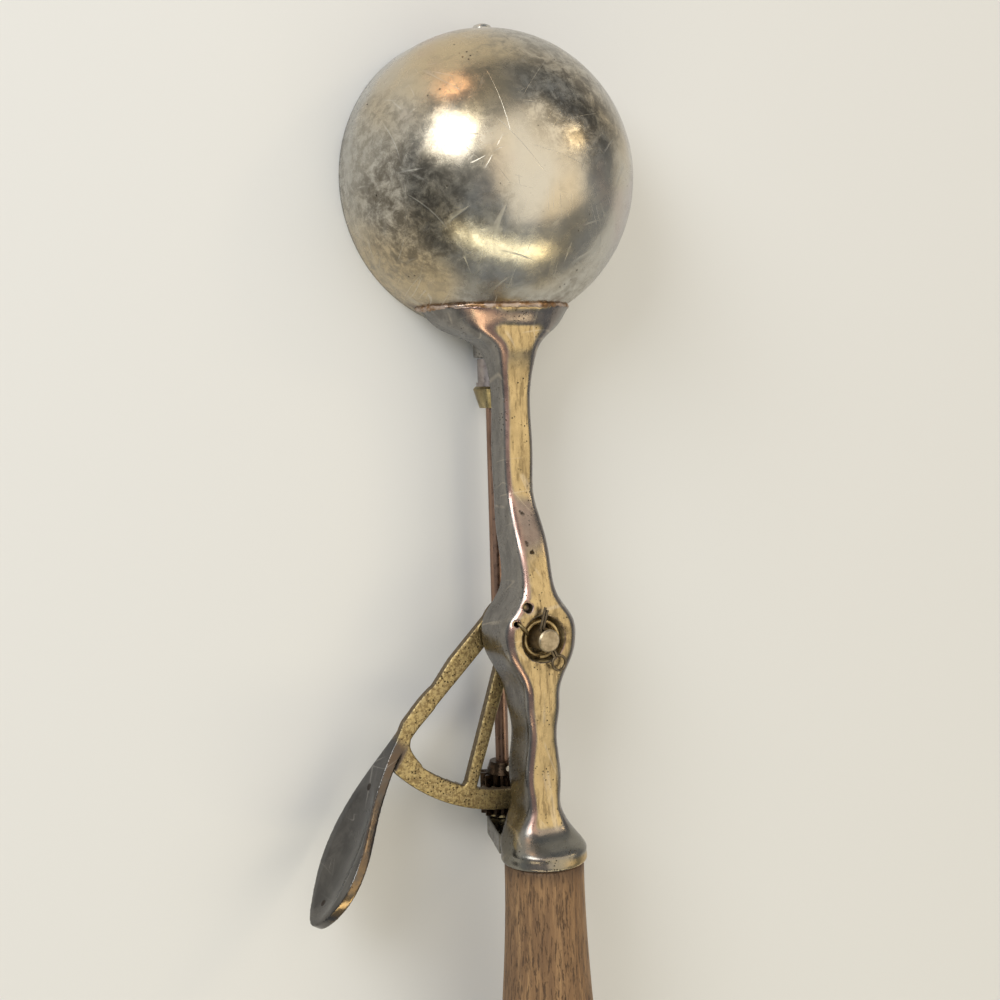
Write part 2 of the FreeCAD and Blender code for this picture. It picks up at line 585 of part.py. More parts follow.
def rack_teeth(body):
    """Radial teeth under the web, one pitch apart about the pivot."""
    pitch = 360.0 / size["sector_teeth"]
    sketch = body.newObject("Sketcher::SketchObject", "rack_tooth_outline")
    sketch.AttachmentSupport = (plane(body, "XZ_Plane"), [""])
    sketch.MapMode = "FlatFace"
    turn = math.radians(pitch)
    reach = size["rack_tooth_inner"]
    place = Vector(reach * math.sin(turn), 0, reach * math.cos(turn))
    sketch.AttachmentOffset = FreeCAD.Placement(place, FreeCAD.Rotation(ABOUT_Y, pitch))
    bind(sketch, "AttachmentOffset.Base.x", "rack_tooth_inner * sin(360 deg / sector_teeth)")
    bind(sketch, "AttachmentOffset.Base.z", "rack_tooth_inner * cos(360 deg / sector_teeth)")
    bind(sketch, "AttachmentOffset.Rotation.Angle", "360 / sector_teeth")
    root_half = "(" + HALF_SPACE + " - tooth_backlash / 2 + tooth_dedendum * tan(20 deg))"
    tip_half = "(" + HALF_SPACE + " - tooth_backlash / 2 - tooth_addendum * tan(20 deg))"
    outline(sketch, [
        ("-" + root_half, LEVER_FOOT + " + 0.2"),
        ("-" + root_half, LEVER_FOOT),
        ("-" + tip_half, RACK_TIP),
        (tip_half, RACK_TIP),
        (root_half, LEVER_FOOT),
        (root_half, LEVER_FOOT + " + 0.2"),
    ])
    tooth = pad(body, sketch, "rack_tooth", "rack_tooth_length")
    teeth = body.newObject("PartDesign::PolarPattern", "rack_teeth")
    teeth.Originals = [tooth]
    teeth.Axis = (plane(body, "Z_Axis"), [""])
    teeth.Reversed = True
    bind(teeth, "Occurrences", "rack_count")
    bind(teeth, "Angle", "(rack_count - 1) * 360 / sector_teeth")
    body.Tip = teeth


def paddle(body):
    """Upright leaf at the end of the arm, hollowed for the thumb."""
    sketch = body.newObject("Sketcher::SketchObject", "paddle_outline")
    sketch.AttachmentSupport = (plane(body, "XZ_Plane"), [""])
    sketch.MapMode = "FlatFace"
    root = Vector(-size["paddle_root_x"], 0, size["paddle_root_y"])
    turn = FreeCAD.Rotation(ABOUT_Y, -size["paddle_angle"])
    sketch.AttachmentOffset = FreeCAD.Placement(root, turn)
    bind(sketch, "AttachmentOffset.Base.x", "-paddle_root_x")
    bind(sketch, "AttachmentOffset.Base.z", "paddle_root_y")
    points = [Vector(along, height, 0) for along, height in PADDLE_LOWER + PADDLE_UPPER]
    edge = Part.BSplineCurve()
    edge.interpolate(points)
    sketch.addGeometry(edge, False)
    sketch.addGeometry(Part.LineSegment(points[-1], points[0]), False)
    leaf = pad(body, sketch, "paddle_leaf", "paddle_thick")
    leaf.SideType = "Symmetric"
    hollow = body.newObject("PartDesign::SubtractiveEllipsoid", "paddle_hollow")
    hollow.AttachmentSupport = (sketch, [""])
    hollow.MapMode = "ObjectXY"
    for name, formula in (("Radius1", "dish_swell"), ("Radius2", "dish_length"), ("Radius3", "dish_height")):
        bind(hollow, name, formula)
    hollow.AttachmentOffset = FreeCAD.Placement(Vector(0, 0, 0), FreeCAD.Rotation(ABOUT_Z, size["dish_tilt"]))
    for axis, formula in (
        ("x", "dish_along"), ("y", "dish_at"), ("z", "paddle_thick / 2 + dish_swell - dish_depth")
    ):
        bind(hollow, "AttachmentOffset.Base." + axis, formula)
    bind(hollow, "AttachmentOffset.Rotation.Angle", "dish_tilt")


def make_lever():
    body = new_body("thumb_lever")
    hub = sketch_on(body, "XY_Plane", "lever_hub_outline", LEVER_FOOT)
    circle(hub, "0", "0", "hub_radius")
    pad(body, hub, "lever_hub", "lever_thick")
    along = ("sin(arm_angle * 1 deg)", "cos(arm_angle * 1 deg)")
    edges = []
    for aside, reach in (
        ("(arm_offset + arm_width / 2)", "0"),
        ("(arm_offset + arm_width / 2)", "arm_bend"),
        ("(arm_offset + arm_width / 2 - arm_lean)", "arm_reach"),
        ("(arm_offset + arm_width / 2 - arm_lean - arm_end_width)", "arm_reach"),
        ("(arm_offset - arm_width / 2)", "0"),
    ):
        edges.append((f"-{aside} * {along[1]} - {reach} * {along[0]}",
                      f"{aside} * {along[0]} - {reach} * {along[1]}"))
    band(body, "lever_arm", edges)
    rack_web(body)
    strut = []
    middle = "(rack_inner_radius + 1)"
    across = ("cos(strut_angle * 1 deg)", "-sin(strut_angle * 1 deg)")
    down = ("-sin(strut_angle * 1 deg)", "-cos(strut_angle * 1 deg)")
    for half, reach in (
        ("-strut_width / 2", "hub_radius / 2"),
        ("-strut_end_width / 2", middle),
        ("strut_end_width / 2", middle),
        ("strut_width / 2", "hub_radius / 2"),
    ):
        strut.append((f"{half} * {across[0]} + {reach} * {down[0]}", f"{half} * {across[1]} + {reach} * {down[1]}"))
    band(body, "lever_strut", strut)
    rack_teeth(body)
    paddle(body)
    bore = sketch_on(body, "XY_Plane", "lever_bore_outline", LEVER_FOOT)
    circle(bore, "0", "0", "pin_radius")
    pocket(body, bore, "lever_bore", "lever_thick", backwards=True)
    move_to_pivot(body)
    return body


# Pivot pin, its washer, the return spring and the split pin
def make_pivot_pin():
    body = new_body("pivot_pin")
    profile = sketch_on(body, "XZ_Plane", "pivot_pin_profile")
    outline(profile, [
        ("0", LEVER_FOOT + " - pin_head_thick"),
        ("pin_head_radius - 0.5", LEVER_FOOT + " - pin_head_thick"),
        ("pin_head_radius", LEVER_FOOT + " - pin_head_thick + 0.5"),
        ("pin_head_radius", LEVER_FOOT),
        ("pin_radius", LEVER_FOOT),
        ("pin_radius", "pin_top - 0.3"),
        ("pin_radius - 0.3", "pin_top"),
        ("0", "pin_top"),
    ])
    revolve(body, profile, "pivot_pin_turned", "V_Axis")
    cross = sketch_on(body, "XZ_Plane", "pivot_pin_cross_hole", "-pin_head_radius")
    circle(cross, "0", "split_height", "split_wire * 1.08")
    pocket(body, cross, "pivot_pin_cross_bore", "2 * pin_head_radius", backwards=True)
    body.Placement.Rotation = FreeCAD.Rotation(ABOUT_Z, size["split_turn"])
    bind(body, "Placement.Rotation.Angle", "split_turn")
    move_to_pivot(body)
    return body


def make_pivot_washer():
    body = new_body("pivot_washer")
    ring = sketch_on(body, "XY_Plane", "pivot_washer_ring", LEVER_TOP)
    circle(ring, "0", "0", "pivot_washer_radius")
    circle(ring, "0", "0", "pin_radius")
    pad(body, ring, "pivot_washer_disc", "pivot_washer_thick")
    move_to_pivot(body)
    return body


def biarc(start, leave, finish, arrive):
    """Two arcs that share a tangent where they meet."""
    gap = finish - start
    both = leave + arrive
    double = 2 * (1 - leave.dot(arrive))
    reach = (-gap.dot(both) + math.sqrt(gap.dot(both) ** 2 + double * gap.dot(gap))) / double
    join = (start + leave * reach + finish - arrive * reach) * 0.5
    tangent = (finish - arrive * reach - start - leave * reach).normalize()
    arcs = []
    for near, heading, far in ((start, leave, join), (join, tangent, finish)):
        chord = far - near
        normal = heading.cross(chord).normalize()
        inward = normal.cross(heading).normalize()
        radius = chord.dot(chord) / (2 * chord.dot(inward))
        centre = near + inward * radius
        middle = (near + far) * 0.5 - centre
        arcs.append(Part.Arc(near, centre + middle.normalize() * radius, far).toShape())
    return arcs


def make_spring():
    """Torsion spring in the recess, wound as one tube with its two ends bent out."""
    radius = size["spring_radius"]
    turns = size["spring_turns"]
    rise = size["spring_pitch"]
    wire = size["spring_wire"]
    foot = size["boss_top"] - size["recess_depth"] + wire / 2 + size["side_gap"]
    steps = int(round(turns * 4))
    points = []
    headings = []
    for step in range(steps + 1):
        angle = math.pi - step * math.pi / 2
        points.append(Vector(radius * math.cos(angle), radius * math.sin(angle), foot + rise * step / 4))
        slope = rise / (2 * math.pi)
        headings.append(Vector(radius * math.sin(angle), -radius * math.cos(angle), slope).normalize())
    edges = []
    for step in range(steps):
        edges += biarc(points[step], headings[step], points[step + 1], headings[step + 1])
    tail = headings[-1] * (wire * 1.2)
    edges.append(Part.LineSegment(points[-1], points[-1] + tail).toShape())
    path = Part.Wire(edges)
    section = Part.Wire(Part.Circle(points[0], headings[0], wire / 2).toShape())
    tube = path.makePipeShell([section], True, False)
    spacing = 0.2
    dots = path.discretize(Distance=spacing)
    away = min(
        (first - second).Length
        for index, first in enumerate(dots)
        for second in dots[index + int(math.pi * radius / spacing):]
    )
    print(f"return spring: least gap between turns {away - wire:.2f} mm")
    spring = doc.addObject("Part::Feature", "return_spring")
    spring.Label = "return_spring"
    spring.Shape = tube
    spring.Placement.Base = Vector(0, -size["pivot_at"], 0)
    return spring


def make_split_pin():
    """Split pin through the pivot pin: an eye behind it, two legs bent aside ahead."""
    wire = size["split_wire"] / 2
    eye = size["split_eye_radius"]
    back = -size["split_head_back"]
    knee = size["split_knee"]
    spread = wire + 0.01
    neck = back + math.sqrt(eye ** 2 - spread ** 2)
    left = Vector(-spread, neck, 0)
    right = Vector(spread, neck, 0)
    lean = Vector(size["split_toe_aside"], size["split_leg_ahead"] - knee, 0)
    mitre = spread * math.tan(math.atan2(lean.x, lean.y) / 2)
    paths = [Part.Wire(Part.Arc(left, Vector(0, back - eye, 0), right).toShape())]
    for start, bend_at, share in ((left, knee + mitre, 1.0), (right, knee - mitre, 0.85)):
        bend = Vector(start.x, bend_at, 0)
        straight = Part.LineSegment(start, bend).toShape()
        paths.append(Part.Wire([straight, Part.LineSegment(bend, bend + lean * share).toShape()]))
    tubes = []
    for path in paths:
        first = path.Edges[0]
        heading = first.tangentAt(first.FirstParameter)
        section = Part.Wire(Part.Circle(first.valueAt(first.FirstParameter), heading, wire).toShape())
        tubes.append(path.makePipeShell([section], True, False, 2))
    shape = tubes[0].fuse(tubes[1:])
    split = doc.addObject("Part::Feature", "split_pin")
    split.Label = "split_pin"
    split.Shape = shape.removeSplitter()
    turn = FreeCAD.Rotation(ABOUT_Z, size["split_turn"])
    split.Placement = FreeCAD.Placement(Vector(0, -size["pivot_at"], size["split_height"]), turn)
    return split


# Casting: flange, stem, boss, back arm, ferrule and lug in one piece
# Each section: place behind the bowl, width, top, underside, top rounding, lower rounding
FERRULE_FOOT = "(handle_height - ferrule_radius * 0.96)"
SPINE = [
    ("flange_at", "2 * flange_radius", "axis_height + flange_radius", "flange_foot", "flange_radius * 0.9", "0.8"),
    ("flange_at + 3.2", "flange_radius * 1.62", "stem_top + 1.9", "flange_foot + 0.8", "flange_radius * 0.66", "1.0"),
    ("flange_at + 5.8", "flange_radius * 1.02", "stem_top + 1.7", "stem_foot - 3.4", "flange_radius * 0.36", "1.6"),
    ("flange_at + 9.0", "stem_width + 2.6", "stem_top + 1.4", "stem_foot - 1.0", "stem_crown + 0.9", "stem_heel"),
    ("flange_at + 14.5", "stem_width + 0.4", "stem_top + 0.1", "stem_foot", "stem_crown", "stem_heel"),
    ("flange_at + 24", "stem_width", "stem_top", "stem_foot", "stem_crown", "stem_heel"),
    ("flange_at + 34", "stem_width", "stem_top", "stem_foot", "stem_crown", "stem_heel"),
    ("pivot_at - 25.5", "stem_width", "stem_top + 1.3", "stem_foot + 0.4", "stem_crown", "stem_heel"),
    ("pivot_at - 19.5", "stem_width + 0.6", "stem_top + 4.5", "stem_foot + 1.8", "stem_crown", "stem_heel"),
    ("pivot_at - 14", "stem_width + 0.5", "stem_top + 6.6", "stem_foot + 3.2", "stem_crown + 0.2", "stem_heel"),
    ("pivot_at - 10", "stem_width + 1", "boss_top - 0.9", BOSS_FOOT, "stem_crown + 0.4", "stem_heel - 0.4"),
    ("pivot_at - 7.4", "boss_radius * 1.2", "boss_top - 0.3", BOSS_FOOT, "stem_crown + 0.7", "stem_heel - 0.9"),
    ("pivot_at - 4.4", "boss_radius * 1.74", "boss_top - 0.1", BOSS_FOOT, "stem_crown + 0.9", "stem_heel - 1.1"),
    ("pivot_at", "boss_radius * 2", "boss_top", BOSS_FOOT, "stem_crown + 0.9", "stem_heel - 1.1"),
    ("pivot_at + 4.4", "boss_radius * 1.74", "boss_top + 0.1", BOSS_FOOT, "stem_crown + 0.9", "stem_heel - 1.1"),
    ("pivot_at + 8", "boss_radius * 1.24", "boss_top + 0.1", BOSS_FOOT, "stem_crown + 0.7", "stem_heel - 0.9"),
    ("pivot_at + 12", "arm_back_width + 0.5", "boss_top", BOSS_FOOT + " + 0.7", "stem_crown + 0.4", "stem_heel - 0.4"),
    ("pivot_at + 17", "arm_back_width - 0.4", "boss_top - 0.3", "arm_back_foot", "stem_crown + 0.2", "stem_heel"),
    ("pivot_at + 24", "arm_back_width", "boss_top - 0.6", "arm_back_foot", "stem_crown + 0.2", "stem_heel"),
    ("ferrule_start - 3", "arm_back_width", "boss_top - 0.4", "arm_back_foot", "stem_crown + 0.2", "stem_heel"),
    ("ferrule_start", "arm_back_width + 0.9", "boss_top", "arm_back_foot", "stem_crown + 0.6", "stem_heel + 0.2"),
    ("ferrule_start + 3", "ferrule_radius * 1.36", "boss_top + 0.8", FERRULE_FOOT, "ferrule_radius * 0.42",
     "ferrule_radius * 0.42"),
    ("ferrule_start + 5.4", "ferrule_radius * 1.74", "handle_height + ferrule_radius * 0.72", FERRULE_FOOT,
     "ferrule_radius * 0.66", "ferrule_radius * 0.66"),
    ("ferrule_start + 7.6", "ferrule_radius * 1.93", "handle_height + ferrule_radius * 0.95", FERRULE_FOOT,
     "ferrule_radius * 0.92", "ferrule_radius * 0.92"),
]


def rounded_section(body, name, width, top, foot, crown, heel, lift):
    """An upright rounded rectangle, symmetric about the tool's middle plane."""
    sketch = sketch_on(body, "XZ_Plane", name, lift)
    half = value(width) / 2
    high = value(top)
    low = value(foot)
    upper = value(crown)
    lower = value(heel)
    quarter = math.pi / 2
    corners = [
        (Vector(half - lower, low + lower, 0), lower, -quarter, 0),
        (Vector(half - upper, high - upper, 0), upper, 0, quarter),
        (Vector(upper - half, high - upper, 0), upper, quarter, 2 * quarter),
        (Vector(lower - half, low + lower, 0), lower, 2 * quarter, 3 * quarter),
    ]
    for centre, radius, first, last in corners:
        arc = Part.Circle(centre, Vector(0, 0, 1), radius)
        sketch.addGeometry(Part.ArcOfCircle(arc, first, last), False)
    sides = [
        (Vector(half, low + lower, 0), Vector(half, high - upper, 0)),
        (Vector(half - upper, high, 0), Vector(upper - half, high, 0)),
        (Vector(-half, high - upper, 0), Vector(-half, low + lower, 0)),
        (Vector(lower - half, low, 0), Vector(half - lower, low, 0)),
    ]
    for first, last in sides:
        sketch.addGeometry(Part.LineSegment(first, last), False)
    for corner in range(4):
        sketch.addConstraint(Sketcher.Constraint("Tangent", corner, 2, 4 + corner, 1))
        sketch.addConstraint(Sketcher.Constraint("Tangent", 4 + corner, 2, (corner + 1) % 4, 1))
    sketch.addConstraint(Sketcher.Constraint("Vertical", 4))
    sketch.addConstraint(Sketcher.Constraint("Vertical", 6))
    sketch.addConstraint(Sketcher.Constraint("Horizontal", 7))
    sketch.addConstraint(Sketcher.Constraint("Equal", 0, 3))
    sketch.addConstraint(Sketcher.Constraint("Equal", 1, 2))
    sketch.addConstraint(Sketcher.Constraint("Symmetric", 5, 1, 5, 2, -2))
    for kind, geometry, end, formula in (
        ("DistanceX", 4, 1, f"({width}) / 2"),
        ("DistanceY", 5, 1, top),
        ("DistanceY", 7, 1, foot),
    ):
        index = sketch.addConstraint(Sketcher.Constraint(kind, -1, 1, geometry, end, value(formula)))
        bind(sketch, f"Constraints[{index}]", formula)
    for geometry, formula in ((0, heel), (1, crown)):
        index = sketch.addConstraint(Sketcher.Constraint("Radius", geometry, value(formula)))
        bind(sketch, f"Constraints[{index}]", formula)
    return sketch


def make_casting():
    body = new_body("frame_casting")
    sections = []
    for number, (place, width, top, foot, crown, heel) in enumerate(SPINE):
        sections.append(rounded_section(body, f"spine_{number:02d}", width, top, foot, crown, heel, place))
    spine = body.newObject("PartDesign::AdditiveLoft", "spine")
    spine.Profile = sections[0]
    spine.Sections = sections[1:]
    ferrule_profile = sketch_on(body, "YZ_Plane", "ferrule_profile")
    outline(ferrule_profile, [
        ("-(ferrule_end - ferrule_ridge - 0.4)", "handle_height"),
        ("-(ferrule_end - ferrule_ridge - 0.4)", "handle_height + ferrule_radius - 0.9"),
        ("-(ferrule_end - ferrule_ridge)", "handle_height + ferrule_radius - 0.2"),
        ("-(ferrule_end - 0.5)", "handle_height + ferrule_radius"),
        ("-ferrule_end", "handle_height + ferrule_radius - 0.3"),
        ("-ferrule_end", "handle_height"),
    ])
    ferrule = body.newObject("PartDesign::Revolution", "ferrule")
    ferrule.Profile = ferrule_profile
    ferrule.ReferenceAxis = (ferrule_profile, ["Edge6"])
    ferrule.Angle = 360
    lug = sketch_on(body, "XZ_Plane", "lug_outline", "lug_front")
    outline(lug, [
        ("-lug_radius * 0.94", "axis_height - lug_radius * 0.34"),
        ("lug_radius * 0.94", "axis_height - lug_radius * 0.34"),
        ("lug_root_width / 2", "handle_height - 6.5"),
        ("-lug_root_width / 2", "handle_height - 6.5"),
    ])
    pad(body, lug, "lug", "lug_thick")
    lug_end = sketch_on(body, "XZ_Plane", "lug_end_outline", "lug_front")
    circle(lug_end, "0", "axis_height", "lug_radius")
    pad(body, lug_end, "lug_end", "lug_thick")
    bearing = sketch_on(body, "XZ_Plane", "bearing_outline", "flange_at")
    circle(bearing, "0", "axis_height", "bearing_radius")
    pad(body, bearing, "bearing", "bearing_end - flange_at")
    seat = sketch_on(body, "XZ_Plane", "bowl_seat_section")
    dome_profile(seat, "bowl_radius + solder_gap", None)
    revolve(body, seat, "bowl_seat", "V_Axis", "PartDesign::Groove")
    shaft_way = sketch_on(body, "XZ_Plane", "shaft_way_outline")
    circle(shaft_way, "0", "axis_height", "shaft_radius + running_gap")
    pocket(body, shaft_way, "shaft_way", "ferrule_end + 5", backwards=True)
    pivot = sketch_on(body, "XY_Plane", "pivot_bore_outline")
    circle(pivot, "0", "-pivot_at", "pin_radius + running_gap")
    pocket(body, pivot, "pivot_bore", "pin_top", backwards=True)
    recess = sketch_on(body, "XY_Plane", "recess_outline", "boss_top - recess_depth")
    circle(recess, "0", "-pivot_at", "recess_radius")
    pocket(body, recess, "recess", "recess_depth + 2", backwards=True)
    for name, x, ahead, radius, depth in (
        ("anchor", "anchor_x", "anchor_ahead", "anchor_radius", "anchor_depth"),
        ("oil_hole", "oil_hole_x", "oil_hole_ahead", "oil_hole_radius", "oil_hole_depth"),
    ):
        hole = sketch_on(body, "XY_Plane", name + "_outline", f"boss_top - {depth}")
        circle(hole, f"-{x}", f"-(pivot_at - {ahead})", radius)
        pocket(body, hole, name, f"{depth} + 2", backwards=True)
    socket = sketch_on(body, "XZ_Plane", "socket_outline", "ferrule_end - socket_depth")
    circle(socket, "0", "handle_height", "socket_radius")
    pocket(body, socket, "socket", "socket_depth + 2", backwards=True)
    tang = sketch_on(body, "XZ_Plane", "tang_outline", "tang_front")
    circle(tang, "0", "handle_height", "tang_radius")
    pocket(body, tang, "tang_bore", "ferrule_end - tang_front", backwards=True)
    return body


# Handle: turned wood on a steel rod, with a washer and a nut on the butt
def make_handle():
    body = new_body("handle")
    sketch = sketch_on(body, "YZ_Plane", "handle_profile")
    root = size["handle_root_radius"]
    swell = size["handle_swell_radius"]
    start = size["ferrule_end"]
    run = size["handle_swell_at"] - start
    tail = size["handle_end"] - size["handle_swell_at"]
    fuller = swell - root
    belly = [
        Vector(-start, root, 0),
        Vector(-(start + run * 0.39), root + fuller * 0.27, 0),
        Vector(-(start + run * 0.76), root + fuller * 0.78, 0),
        Vector(-(start + run), swell, 0),
        Vector(-(start + run + tail * 0.46), swell - fuller * 0.07, 0),
        Vector(-(start + run + tail * 0.84), size["handle_butt_radius"] + fuller * 0.2, 0),
        Vector(-size["handle_end"], size["butt_washer_radius"] + 0.6, 0),
    ]
    side = Part.BSplineCurve()
    side.interpolate(belly)
    front = -(size["ferrule_end"] - size["socket_depth"] + size["side_gap"])
    rest = [
        Vector(-size["handle_end"], size["tang_radius"], 0),
        Vector(front, size["tang_radius"], 0),
        Vector(front, size["socket_radius"], 0),
        Vector(-size["ferrule_end"], size["socket_radius"], 0),
    ]
    sketch.addGeometry(side, False)
    corners = [belly[-1]] + rest + [belly[0]]
    for first, last in zip(corners, corners[1:]):
        sketch.addGeometry(Part.LineSegment(first, last), False)
    revolve(body, sketch, "handle_turned", "H_Axis")
    body.Placement.Base = Vector(0, 0, value("handle_height"))
    bind(body, "Placement.Base.z", "handle_height")
    return body


def on_handle_axis(body):
    body.Placement.Base = Vector(0, 0, value("handle_height"))
    bind(body, "Placement.Base.z", "handle_height")


NUT_FACE = "(handle_end + butt_washer_thick)"


def make_tang():
    body = turned("tang_rod", [
        ("tang_front", "0"),
        ("tang_front", "tang_radius"),
        (NUT_FACE + " + butt_nut_thick + 0.6", "tang_radius"),
        (NUT_FACE + " + butt_nut_thick + 0.6", "0"),
    ])
    on_handle_axis(body)
    return body


def make_butt_washer():
    body = turned("butt_washer", [
        ("handle_end", "tang_radius"),
        ("handle_end", "butt_washer_radius"),
        (NUT_FACE, "butt_washer_radius - 0.3"),
        (NUT_FACE, "tang_radius"),
    ])
    on_handle_axis(body)
    return body


def make_butt_nut():
    body = new_body("butt_nut")
    face = sketch_on(body, "XZ_Plane", "butt_nut_outline", NUT_FACE)
    corners = []
    for corner in range(6):
        corners.append((f"butt_nut_radius * cos({corner * 60} deg)", f"butt_nut_radius * sin({corner * 60} deg)"))
    outline(face, corners)
    pad(body, face, "butt_nut_body", "butt_nut_thick")
    bore = sketch_on(body, "XZ_Plane", "butt_nut_bore_outline", NUT_FACE)
    circle(bore, "0", "0", "tang_radius")
    pocket(body, bore, "butt_nut_bore", "butt_nut_thick", backwards=True)
    on_handle_axis(body)
    return body


shaft = make_shaft()
drill_shaft(shaft)

pieces = [
    make_bowl(),
    make_casting(),
    make_blade(),
    shaft,
    make_tip_rivet(),
    make_tip_washer(),
    make_sleeve(),
    make_collar(),
    make_cross_pin("collar_pin", "sleeve_at + sleeve_length + collar_length / 2", "collar_back_radius + 0.5"),
    make_pinion(),
    make_cross_pin("pinion_pin", PINION_PIN, "pinion_hub_radius + 0.2"),
    make_thrust_washer(),
    make_lever(),
    make_pivot_pin(),
    make_pivot_washer(),
    make_spring(),
    make_split_pin(),
    make_handle(),
    make_tang(),
    make_butt_washer(),
    make_butt_nut(),
]
doc.recompute()

for item in doc.Objects:
    if "Invalid" in item.State or "Error" in item.State:
        raise RuntimeError(f"{item.Name} did not build: {item.State}")
os.makedirs("parts", exist_ok=True)
for piece in pieces:
    if piece.Shape.isNull() or not piece.Shape.isValid():
        raise RuntimeError(f"{piece.Label} has no valid shape")
    if len(piece.Shape.Solids) != 1:
        raise RuntimeError(f"{piece.Label} holds {len(piece.Shape.Solids)} solids")
for piece in pieces:
    piece.Shape.exportStep(f"parts/{piece.Label}.step")
    print(f"{piece.Label}: {piece.Shape.Volume:.1f} mm3")
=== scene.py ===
import json
import math

import bmesh
import bpy
from bpy.props import FloatProperty, FloatVectorProperty, IntProperty, PointerProperty
from mathutils import Matrix, Vector, noise


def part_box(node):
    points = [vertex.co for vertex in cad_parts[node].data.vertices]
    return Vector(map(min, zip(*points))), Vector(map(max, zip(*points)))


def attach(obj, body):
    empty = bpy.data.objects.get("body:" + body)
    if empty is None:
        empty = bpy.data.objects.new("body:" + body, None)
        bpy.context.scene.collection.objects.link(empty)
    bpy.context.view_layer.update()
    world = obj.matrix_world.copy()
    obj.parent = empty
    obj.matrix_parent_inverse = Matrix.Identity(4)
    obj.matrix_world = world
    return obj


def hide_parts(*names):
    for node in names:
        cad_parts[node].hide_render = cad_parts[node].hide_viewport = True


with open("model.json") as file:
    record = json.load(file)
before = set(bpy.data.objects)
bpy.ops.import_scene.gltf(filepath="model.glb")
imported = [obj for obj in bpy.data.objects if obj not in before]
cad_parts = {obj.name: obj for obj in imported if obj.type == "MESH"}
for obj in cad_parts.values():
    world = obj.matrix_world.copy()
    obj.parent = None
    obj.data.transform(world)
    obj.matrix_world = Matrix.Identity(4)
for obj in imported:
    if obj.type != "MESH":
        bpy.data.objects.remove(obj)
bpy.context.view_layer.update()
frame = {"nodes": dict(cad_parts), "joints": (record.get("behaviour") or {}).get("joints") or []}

bl_info = {
    "name": "Lever Ice Cream Scoop",
    "version": (1, 0, 0),
    "blender": (4, 5, 0),
    "location": "View3D > Sidebar > Scoop",
    "description": "Builds the finish of a lever ice cream scoop around its packed model",
    "category": "Add Mesh",
}

MM = 0.001

# Places on the scoop that several pieces share, in metres
BOWL_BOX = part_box("bowl")
BOWL_RADIUS = BOWL_BOX[1][0]
AXIS_HEIGHT = BOWL_BOX[1][2] - BOWL_RADIUS
PIVOT = Vector(frame["joints"][0]["pos_m"])
BOSS_TOP = 26.0 * MM
RECESS_RADIUS = 4.6 * MM
FERRULE_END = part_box("frame_casting")[0][1]
LEVER_FOOT = 10.3 * MM
LEVER_TOP = 12.27 * MM
# The upright paddle starts here in plan, and runs this way
PADDLE_ROOT = Vector((PIVOT.x - 24 * MM, PIVOT.y - 18 * MM, 0))
PADDLE_WAY = Vector((-0.5255, -0.8508, 0))
PADDLE_SIDE = Vector((0.8508, -0.5255, 0))
# Two small pits on its face, in millimetres
PADDLE_PITS = ((-31.9, -119.8, 10.2), (-44.0, -139.5, 14.9))
# Dirty pits along the casting's flat in plan, in millimetres
CASTING_PITS = ((-0.93, -66.67, 0), (-1.44, -72.36, 0), (-0.7, -74.0, 0))
# Where the bowl's film is darkest, partly tarnish and partly a painted dark reflection: a way out from its
# centre, and the reach that starts and fills it
DARK_PATCHES_AND_REFLECTIONS = (((-0.805, -0.258, 0.534), 0.80, 0.99), ((0.27, 0.45, 0.85), 0.82, 0.99))
BOWL_LIP = 0.12 * MM
SKIRT_STEPS = 4
# Ripples of the bowl's sheet: how fine each wave is, and its share
RIPPLES = ((2.3, 0.6), (5.1, 0.3), (11, 0.1))

# Where the casting's smoothing starts and is full, away from its pin, anchor hole and ends, and along Y
ANCHOR_HOLE = Vector((-2.7, -84.9)) * MM
CASTING_FRONT = -26.5 * MM
FROM_PIN = (5.0 * MM, 7.5 * MM)
FROM_HOLE = (1.0 * MM, 2.2 * MM)
FROM_END = (0.4 * MM, 2.5 * MM)
FERRULE_FRONT = (-128 * MM, -124 * MM)
# The least share of smoothing there, and on the ferrule
HELD_SHARE = 0.12
FERRULE_SHARE = 0.25
# The toothed band of the lever's rack about the pin, its left end and top, and the smoothing left to it
RACK_BAND = (32.8 * MM, 37.2 * MM)
RACK_LEFT = -25 * MM
TEETH_TOP = LEVER_FOOT + 0.2 * MM
TEETH_SHARE = 0.1
# Rounds of smoothing after a recast
CASTING_ROUNDS = 14
LEVER_ROUNDS = 16
HANDLE_ROUNDS = 4

# The bead of solder: an arc in degrees round the bowl, with a slow sway and small lumps
SOLDER_PLANE = -25.6 * MM
SOLDER_RADIUS = 0.6 * MM
SOLDER_STAND_OFF = 0.15 * MM
SOLDER_START = -6
SOLDER_SWEEP = 192
SOLDER_STEPS = 150
SOLDER_SWAY = 0.22 * MM
SOLDER_WAVE = 0.11
SOLDER_LUMPS = 0.5
LUMP_GRAIN = 900
LUMP_START = Vector((3, 0, 0))
TUBE_SIDES = 12
# The spring's loose end, across and along from the pin, and its arch over the boss
SPRING_EXIT = (-3.35 * MM, 1.2 * MM)
SPRING_ANCHOR = (-5.4 * MM, 3.6 * MM)
SPRING_SINK = 0.5 * MM
SPRING_ARCH = 0.9 * MM
SPRING_STEPS = 12
SPRING_WIRE_RADIUS = 0.34 * MM
